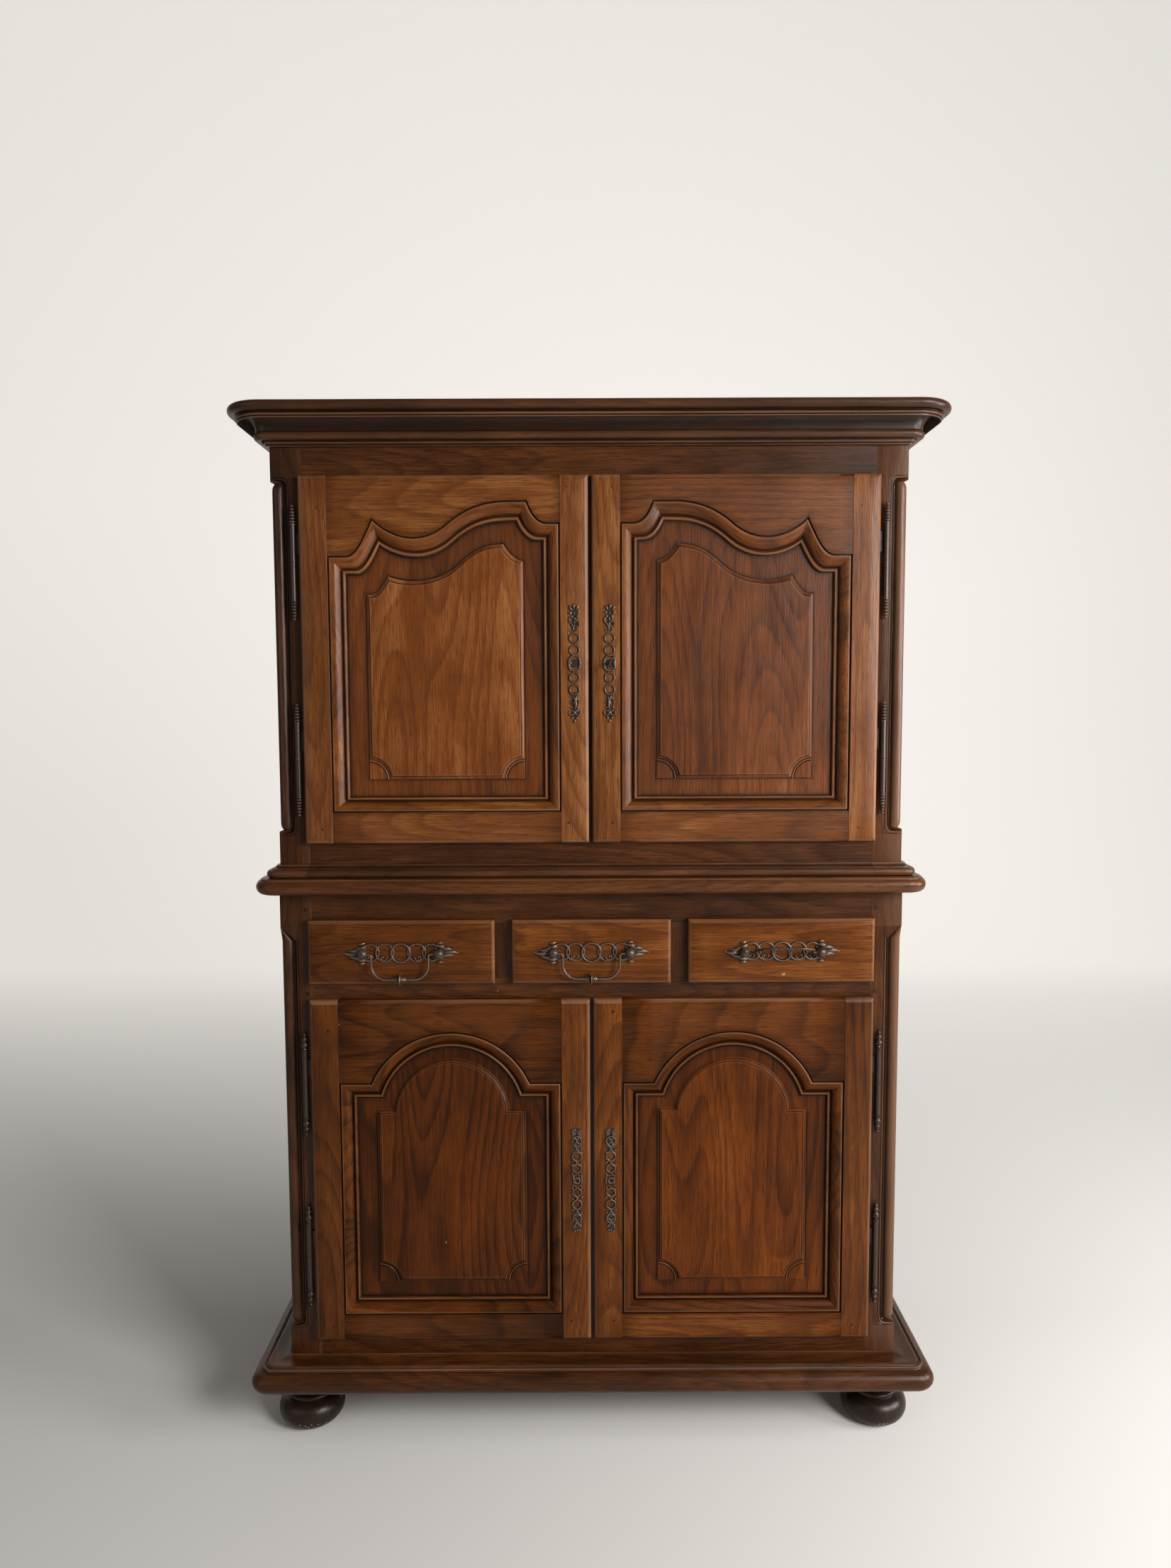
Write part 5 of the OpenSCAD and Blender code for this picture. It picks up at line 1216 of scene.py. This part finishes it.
class BuffetSizes(bpy.types.PropertyGroup):
    """Sizes of the trim that the frame leaves open"""
    peg_d: bpy.props.FloatProperty(
        name="Peg", description="Diameter of the joints' pegs, mm", default=6.5, min=5, max=12)
    # Dirt and painted shade under the doors' arches
    soot_and_shade: bpy.props.FloatProperty(
        name="Soot", description="Dirt under the doors' arches", default=0.22, min=0, max=1)


class BuffetStage(bpy.types.PropertyGroup):
    """Camera and lamps"""
    lens: bpy.props.FloatProperty(
        name="Lens", description="Focal length", default=23.588, subtype="DISTANCE_CAMERA")
    distance: bpy.props.FloatProperty(
        name="Distance", description="Camera in front of the frames' face", default=2.1174,
        unit="LENGTH")
    height: bpy.props.FloatProperty(
        name="Height", description="Camera above the floor", default=1.5523, unit="LENGTH")
    key: bpy.props.FloatProperty(
        name="Key lamp", description="Power of the soft lamp on the right", default=160.0,
        unit="POWER")
    side: bpy.props.FloatProperty(
        name="Side lamp", description="Power of the low lamp far right", default=85.0,
        unit="POWER")
    fill: bpy.props.FloatProperty(
        name="Fill lamp", description="Power of the soft lamp on the left", default=26.0,
        unit="POWER")
    sky: bpy.props.FloatProperty(
        name="Room light", description="Strength of the light all round", default=0.2, min=0,
        max=2)


# ---------------------------------------------------------------- operators

class BUFFET_OT_finishes(bpy.types.Operator):
    """Makes the woods and irons"""
    bl_idname = "buffet.finishes"
    bl_label = "Finishes"

    def execute(self, context):
        make_finishes(context.scene.buffet_colours)
        return {"FINISHED"}


class BUFFET_OT_feet(bpy.types.Operator):
    """Turns the four bun feet with their collars and necks"""
    bl_idname = "buffet.feet"
    bl_label = "Bun feet"

    def execute(self, context):
        skin = Skin()
        bun = ([(36, 0.3), (44, 0.6), (50, 1.6)] + oval(42.5, 31, 27.5, 29, -72, 72, 16)
               + [(48.5, 59.6), (47.4, 60.6), (47.6, 62)] + oval(46, 66.5, 5.2, 5.2, -60, 60, 6)
               + [(46, 72.4), (43.5, 74), (42.4, 78), (42.2, 109.7)])
        for k, (x, y) in enumerate(((-FOOT_X, FOOT_Y), (FOOT_X, FOOT_Y), (-FOOT_X, REAR_FOOT_Y),
                                    (FOOT_X, REAR_FOOT_Y))):
            skin.turned(bun, (x, y, 0), 2, 56, 40 + k, 0.0, start=0.2 * k)
        skin.piece("bun_feet_turned", FINISH["foot"], "carcase", "foot_wood", ["bun_feet"])
        return {"FINISHED"}


class BUFFET_OT_mouldings(bpy.types.Operator):
    """Runs plinth, counter edge, waist moulding and cornice round the body"""
    bl_idname = "buffet.mouldings"
    bl_label = "Body mouldings"

    def execute(self, context):
        end, last = 2 * (TURN + LOWER_HALF), 2 * (TURN + UPPER_HALF)
        plinth = Skin()
        # Three lengths, butted on the sides 14 mm behind the face
        for a, b, k, tone in ((-DEPTH, -14.3, 50, -0.1), (-14, end + 14, 51, 0.0),
                              (end + 14.3, end + DEPTH, 52, -0.1)):
            carry_round(plinth, plinth_section(), LOWER_HALF, a, b, k, tone, turn=0.5)
        plinth.piece("plinth_torus", FINISH["carcase"], "carcase", "carcase_wood",
                     ["plinth_moulding"])
        counter = Skin()
        carry_round(counter, counter_section(), LOWER_HALF, -DEPTH, end + DEPTH, 53, 0.3)
        counter.timber((-LOWER_HALF + 0.5, 0.5, COUNTER_Z + 0.3),
                       (LOWER_HALF - 0.5, DEPTH, WAIST_Z - 0.1), 0, 0.4, 54)
        counter.piece("counter_board", FINISH["carcase"], "carcase", "carcase_wood",
                      ["counter_top"])
        waist = Skin()
        # Side lengths, corner blocks that end at the posts' inner edges, and the front length
        cut = TURN + UPPER_HALF - POST_IN
        for a, b, k, tone in ((-DEPTH, -60.3, 55, -0.1), (-60, cut - 0.2, 56, 0.1),
                              (cut + 0.2, last - cut - 0.2, 57, -0.05),
                              (last - cut + 0.2, last + 60, 58, 0.25),
                              (last + 60.3, last + DEPTH, 59, 0.0)):
            carry_round(waist, waist_section(), UPPER_HALF, a, b, k, tone)
        waist.piece("waist_torus", FINISH["carcase"], "carcase", "carcase_wood", ["waist_moulding"])
        cornice = Skin()
        carry_round(cornice, cornice_section(), UPPER_HALF, -DEPTH, last + DEPTH, 60, -0.2,
                    soot_and_shade_heights=(CORNICE_Z + 25.2, CORNICE_Z + 42.4))
        # The top board, and the timbers that carry the moulding at the front and sides
        thick, foot, head = 24, CORNICE_Z + 0.2, TOP - 15
        cornice.timber((-UPPER_HALF + 0.3, 0.3, TOP - 14.8), (UPPER_HALF - 0.3, DEPTH, TOP - 1),
                       0, 0.6, 61)
        cornice.timber((-UPPER_HALF + 0.5, 0.5, foot), (UPPER_HALF - 0.5, thick, head), 0, 0.4, 62)
        for s in (-1, 1):
            xs = sorted([s * (UPPER_HALF - 0.5), s * (UPPER_HALF - thick)])
            cornice.timber((xs[0], thick, foot), (xs[1], DEPTH - 15.2, head), 1, 0.4, 63 + s)
        cornice.piece("cornice_moulded", FINISH["carcase"], "carcase", "carcase_wood", ["cornice"])
        return {"FINISHED"}


class BUFFET_OT_posts(bpy.types.Operator):
    """Shapes the front posts with their stopped moulded corners, and the rear posts"""
    bl_idname = "buffet.posts"
    bl_label = "Posts and pegs"

    def execute(self, context):
        peg_d = context.scene.buffet_sizes.peg_d
        peg = [(peg_d * 0.7, -1), (peg_d * 0.7, 0.1), (peg_d * 0.6, 0.3), (0.4, 0.4)]
        # The stops at foot and head, the slant's start, and the heights of the square pegs
        for name, half, z0, z1, stops, board, pegs in (
                ("upper_posts", UPPER_HALF, WAIST_Z, CORNICE_Z, (1285, 2017, None), 70, ()),
                ("lower_posts", LOWER_HALF, PLINTH_Z, COUNTER_Z, (220, 1094, 1065), 74,
                 (953, 1131))):
            skin = Skin()
            z0, z1 = z0 + 0.1, z1 - 0.1
            for s in (-1, 1):
                k = board + s
                # Painted light: the right post toned paler and the left darker, for the lamps on
                # the right
                post(skin, half, s, z0, z1, stops, k, 0.05 * s)
                # The rear post stands just in front of the back boards
                xs = sorted([s * half, s * POST_IN])
                skin.timber((xs[0], DEPTH - 45, z0), (xs[1], DEPTH - 15.1, z1), 2, 1.5, k + 8)
                for i, z in enumerate(pegs):
                    skin.turned(peg, (s * 595, 0, z), 1, 4, k + i, -0.4, -0.05, math.pi / 4)
            skin.piece(name + "_moulded", FINISH["carcase"], "carcase", "carcase_wood", [name])
        return {"FINISHED"}


class BUFFET_OT_doors(bpy.types.Operator):
    """Builds the four doors: stiles, shaped rails, mitred mouldings and raised fields"""
    bl_idname = "buffet.doors"
    bl_label = "Doors"

    def execute(self, context):
        sizes = context.scene.buffet_sizes
        # Tones make a board paler, above 0, or darker; s sets the right doors apart
        for side, word, seed in ((-1, "left", 3), (1, "right", 11)):
            s = 0.1 * side
            door_parts("upper", word, side, seed, (0.05 + s, 0.07 + 0.7 * s, -0.1 - s, -0.15,
                                                   -0.15, -0.25, -0.15 - 2 * s), sizes)
            # The lower doors' darker tones are also painted shade of the lower half
            door_parts("lower", word, side, seed + 16,
                       (-0.32 - 0.7 * s, -0.15 + s, -0.32, -0.2 + 2 * s, -0.28, -0.52 + s,
                        -0.35 + 1.5 * s), sizes)
        return {"FINISHED"}


class BUFFET_OT_drawers(bpy.types.Operator):
    """Shapes the three drawer fronts"""
    bl_idname = "buffet.drawers"
    bl_label = "Drawer fronts"

    def execute(self, context):
        h = DRAWER_H
        for k, (word, x, w, tone) in enumerate(DRAWERS):
            skin = Skin(drawer_room(x, DRAWER_FOOT))
            us, vs = across_face(w, 14), across_face(h, 6)
            d = np.minimum(np.minimum(us, w - us)[None], np.minimum(vs, h - vs)[:, None])
            skin.relief(np.broadcast_to(us - w / 2, d.shape), np.broadcast_to(vs[:, None], d.shape),
                        eased(d), 0.3, 0, 80 + k, tone, np.interp(d, EASE_IN, EASE_WEAR_AND_SHADING))
            # The thickness of the front that passes between the rails
            skin.timber((-w / 2 + BACK_IN, 9.3, -14), (w / 2 - BACK_IN, 9.3 + 112, 0.3), 0, 0.8,
                        83 + k)
            skin.piece(word + "_drawer_face", FINISH["frame_low"], word + "_drawer", "door_wood",
                       [word + "_drawer_front"])
        return {"FINISHED"}


class BUFFET_OT_hinges(bpy.types.Operator):
    """Turns the fiche hinges with their finials"""
    bl_idname = "buffet.hinges"
    bl_label = "Hinges"

    def execute(self, context):
        fixed = Skin()
        for level, (axis, joints, barrel) in HINGES.items():
            edge = DOORS[level][0]["half"]
            for s, word in ((-1, "left"), (1, "right")):
                moving = Skin()
                for z in joints:
                    hinge(fixed, s * axis, z, barrel, level == "upper", True)
                    hinge(moving, s * axis, z, barrel, level == "upper", False)
                    # The leaves that go into the door's edge and the post
                    low, high = sorted([s * axis, s * (edge - 6)])
                    moving.timber((low, -4, z + 18), (high, -2.8, z + barrel - 18), 2, 0.5, edge=-1)
                    low, high = sorted([s * (axis + 1), s * (axis + 3)])
                    fixed.timber((low, -8, z - barrel + 8), (high, 8, z - 8), 2, 0.5, edge=-1)
                moving.piece(f"{level}_{word}_hinges", FINISH["iron"], f"{level}_{word}_door",
                             "wrought_iron", [f"{level}_{word}_hinge_knuckles"], 40)
        fixed.piece("hinge_lower_halves", FINISH["iron"], "carcase", "wrought_iron",
                    ["hinge_pintles"], 40)
        return {"FINISHED"}


class BUFFET_OT_ironwork(bpy.types.Operator):
    """Forges the escutcheons, drawer pulls and bails"""
    bl_idname = "buffet.ironwork"
    bl_label = "Escutcheons and pulls"

    def execute(self, context):
        # The keyholes' distance from the doors' meeting edges, and their height
        for word, side, inset in (("left", -1, 28.5), ("right", 1, 36.0)):
            for level, plate, z in (("upper", upper_plate, 1639.0), ("lower", lower_plate, 555.5)):
                door = DOORS[level][0]
                place = door_room(door["half"], 0.0, side)
                skin = Skin(lambda p, place=place: place(p + [0, 0, PROUD]))
                plate(skin, door["w"] - inset, z, side)
                skin.piece(f"{level}_{word}_pierced_plate", FINISH["iron"], f"{level}_{word}_door",
                           "wrought_iron", [f"{level}_{word}_escutcheon"], 60)
        # The right bail is twisted and rests 112 degrees up, the other two hang
        for word, x, *_ in DRAWERS:
            angle, twisted = (112, True) if word == "right" else (0, False)
            plate = Skin(drawer_room(x, DRAWER_FOOT))
            pull(plate)
            plate.piece(word + "_pull_forged", FINISH["iron"], word + "_drawer", "wrought_iron",
                        [word + "_pull_plate"], 60)
            bar = Skin(drawer_room(x, DRAWER_FOOT))
            bail(bar, angle, twisted)
            bar.piece(word + "_bail_forged", FINISH["iron"], word + "_bail", "wrought_iron",
                      [word + "_bail"], 50)
        return {"FINISHED"}


class BUFFET_OT_nicks(bpy.types.Operator):
    """Scatters the chips and scuffs that show bare wood: low domes a few millimetres long"""
    bl_idname = "buffet.nicks"
    bl_label = "Chips"

    def execute(self, context):
        # Place in x and z, distance out of the frames' face, half width and half height
        lists = {"right_drawer": [(397.5, 996, PROUD, 3.0, 2.2), (400.5, 996.5, PROUD, 2.6, 2.4),
                                  (399, 994.5, PROUD, 1.8, 2.6)],
                 "lower_left_door": [(-311, 416, 11.1, 0.9, 3.0), (-526, 893, PROUD, 1.1, 0.8)],
                 "carcase": [(-161, 151, 53.2, 0.9, 2.4), (-197, 957, 0.0, 1.2, 1.1)]}
        rise = np.radians([-20, 20, 50, 80])[:, None]
        t = np.linspace(0, 2 * math.pi, 12, endpoint=False)
        for body, chips in lists.items():
            skin = Skin()
            for x, z, out, wide, high in chips:
                ragged = 1 + 0.25 * np.sin(3 * t + x) + 0.15 * np.sin(5 * t)
                rows = np.stack([x + wide * np.cos(rise) * np.cos(t) * ragged,
                                 np.broadcast_to(-out - 0.25 * np.sin(rise), (4, 12)),
                                 z + high * np.cos(rise) * np.sin(t) * ragged], -1)
                skin.tube(rows, 0, 90)
            # Scuffs on the front feet: angle round the foot, distance from its axis and height
            for k in range(9 if body == "carcase" else 0):
                scuffs = ((-FOOT_X, 232 + 9 * k + 4 * math.sin(5 * k), 69.2, 24 - 2.2 * (k % 3),
                           1.5, 1.1),
                          (FOOT_X, (266 if k < 6 else 286) + 2.6 * k + 2 * math.sin(4 * k), 67.4,
                           18 + 1.6 * (k % 2), 1.3, 0.9))
                for x, turn, r, z, wide, high in scuffs:
                    turn = math.radians(turn)
                    skin.bead(x + r * math.cos(turn), FOOT_Y + r * math.sin(turn), z, wide, high)
            skin.piece(body + "_chips", FINISH["chip"], body,
                       "carcase_wood" if body == "carcase" else "door_wood")
        return {"FINISHED"}


class BUFFET_OT_boards(bpy.types.Operator):
    """Gives every frame node that keeps its solid form its wood or iron"""
    bl_idname = "buffet.boards"
    bl_label = "Rails, panels and inside"

    def execute(self, context):
        solid = {"carcase_x": ("lower_front_rails", "upper_front_rails"),
                 "carcase_y": ("lower_side_rails", "upper_side_rails"),
                 "inside_x": ("lower_boards", "upper_boards"),
                 "inside_y": ("drawer_runners", "left_drawer_box", "middle_drawer_box",
                              "right_drawer_box"),
                 "inside_z": ("lower_back_boards", "upper_back_boards")}
        woods = {name: key for key, names in solid.items() for name in names}
        for name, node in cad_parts.items():
            metal = any(word in name for word in ("lock", "bolt", "key"))
            # Uprights, side panels and the solids that a dressed piece hides have upright grain
            key = "iron_plain" if metal else woods.get(name, "carcase_z")
            node.data.materials.clear()
            node.data.materials.append(FINISH[key])
        return {"FINISHED"}


class BUFFET_OT_stage(bpy.types.Operator):
    """Sets the floor, the lamps and the camera"""
    bl_idname = "buffet.stage"
    bl_label = "Floor, lamps and camera"

    def execute(self, context):
        stage = context.scene.buffet_stage
        # A floor that sweeps up behind in a quarter circle, in metres
        near, far, sweep, wall, half = -9.0, 3.2, 2.4, 7.0, 9.0
        quarter = np.linspace(0, 1, 40) * math.pi / 2
        y = np.concatenate([[near, far], far + sweep * np.sin(quarter), [far + sweep]])
        z = np.concatenate([[0.0, 0.0], sweep * (1 - np.cos(quarter)), [wall]])
        verts = [(x, float(b), float(c)) for b, c in zip(y, z) for x in (-half, half)]
        faces = [(2 * i, 2 * i + 1, 2 * i + 3, 2 * i + 2) for i in range(len(y) - 1)]
        mesh = bpy.data.meshes.new("studio_floor")
        mesh.from_pydata(verts, [], faces)
        mesh.polygons.foreach_set("use_smooth", np.ones(len(faces), bool))
        colour = context.scene.buffet_colours.floor
        mesh.materials.append(plain_matt("matt_floor_paint", colour, 0.8))
        floor = bpy.data.objects.new("studio_floor", mesh)
        context.scene.collection.objects.link(floor)
        for name, place, size, power in (("key_lamp", (2.6, -2.75, 2.35), 1.5, stage.key),
                                         ("side_lamp", (3.4, -1.0, 1.5), 1.2, stage.side),
                                         ("fill_lamp", (-3.8, -3.4, 2.2), 3.0, stage.fill)):
            lamp = bpy.data.lights.new(name, "AREA")
            lamp.shape, lamp.size, lamp.energy = "SQUARE", size, power
            thing = bpy.data.objects.new(name, lamp)
            # Turned to the middle of the buffet, 1.1 m up
            way = np.array([0, 0, 1.1]) - np.array(place)
            thing.rotation_euler = (math.atan2(math.hypot(way[0], way[1]), -way[2]), 0,
                                    math.atan2(way[1], way[0]) - math.pi / 2)
            thing.location = place
            context.scene.collection.objects.link(thing)
        world = bpy.data.worlds.new("studio_room")
        world.use_nodes = True
        light = world.node_tree.nodes["Background"].inputs
        light["Color"].default_value = hex_colour("#efeeec")
        light["Strength"].default_value = stage.sky
        context.scene.world = world
        camera = bpy.data.cameras.new("photo_camera")
        camera.lens, camera.sensor_width, camera.sensor_fit = stage.lens, 36.0, "AUTO"
        thing = bpy.data.objects.new("photo_camera", camera)
        # Heading, tilt from straight down, and roll, in degrees
        heading, tilt, roll = (Matrix.Rotation(math.radians(angle), 4, axis) for angle, axis in (
            (-0.1112, "Z"), (85.667, "X"), (-0.241, "Z")))
        turn = heading @ tilt @ roll
        stand = Matrix.Translation((-0.0148, FACE - stage.distance, stage.height))
        thing.matrix_world = stand @ turn
        context.scene.collection.objects.link(thing)
        context.scene.camera = thing
        context.scene.view_settings.view_transform = "Standard"
        return {"FINISHED"}


class BUFFET_PT_panel(bpy.types.Panel):
    """Sidebar panel with the buffet's steps and settings"""
    bl_label = "Two-part buffet"
    bl_idname = "BUFFET_PT_panel"
    bl_space_type = "VIEW_3D"
    bl_region_type = "UI"
    bl_category = "Buffet"

    def draw(self, context):
        for group in ("buffet_colours", "buffet_sizes", "buffet_stage"):
            settings = getattr(context.scene, group)
            box = self.layout.box()
            for key in settings.bl_rna.properties.keys():
                if key not in ("name", "rna_type"):
                    box.prop(settings, key)
        for step in STEPS:
            self.layout.operator(step.bl_idname)


STEPS = (BUFFET_OT_finishes, BUFFET_OT_boards, BUFFET_OT_feet, BUFFET_OT_mouldings, BUFFET_OT_posts,
         BUFFET_OT_doors, BUFFET_OT_drawers, BUFFET_OT_hinges, BUFFET_OT_ironwork, BUFFET_OT_nicks,
         BUFFET_OT_stage)
GROUPS = {"buffet_colours": BuffetColours, "buffet_sizes": BuffetSizes, "buffet_stage": BuffetStage}


def register():
    """Registers the settings, the steps and the panel"""
    for name, group in GROUPS.items():
        bpy.utils.register_class(group)
        setattr(bpy.types.Scene, name, bpy.props.PointerProperty(type=group))
    for made in STEPS + (BUFFET_PT_panel,):
        bpy.utils.register_class(made)


def unregister():
    """Takes them out again"""
    for made in (BUFFET_PT_panel,) + STEPS[::-1]:
        bpy.utils.unregister_class(made)
    for name, group in GROUPS.items():
        delattr(bpy.types.Scene, name)
        bpy.utils.unregister_class(group)


def main():
    register()
    bpy.ops.buffet.finishes()
    bpy.ops.buffet.boards()
    bpy.ops.buffet.feet()
    bpy.ops.buffet.mouldings()
    bpy.ops.buffet.posts()
    bpy.ops.buffet.doors()
    bpy.ops.buffet.drawers()
    bpy.ops.buffet.hinges()
    bpy.ops.buffet.ironwork()
    bpy.ops.buffet.nicks()
    bpy.ops.buffet.stage()


if __name__ == "__main__":
    main()
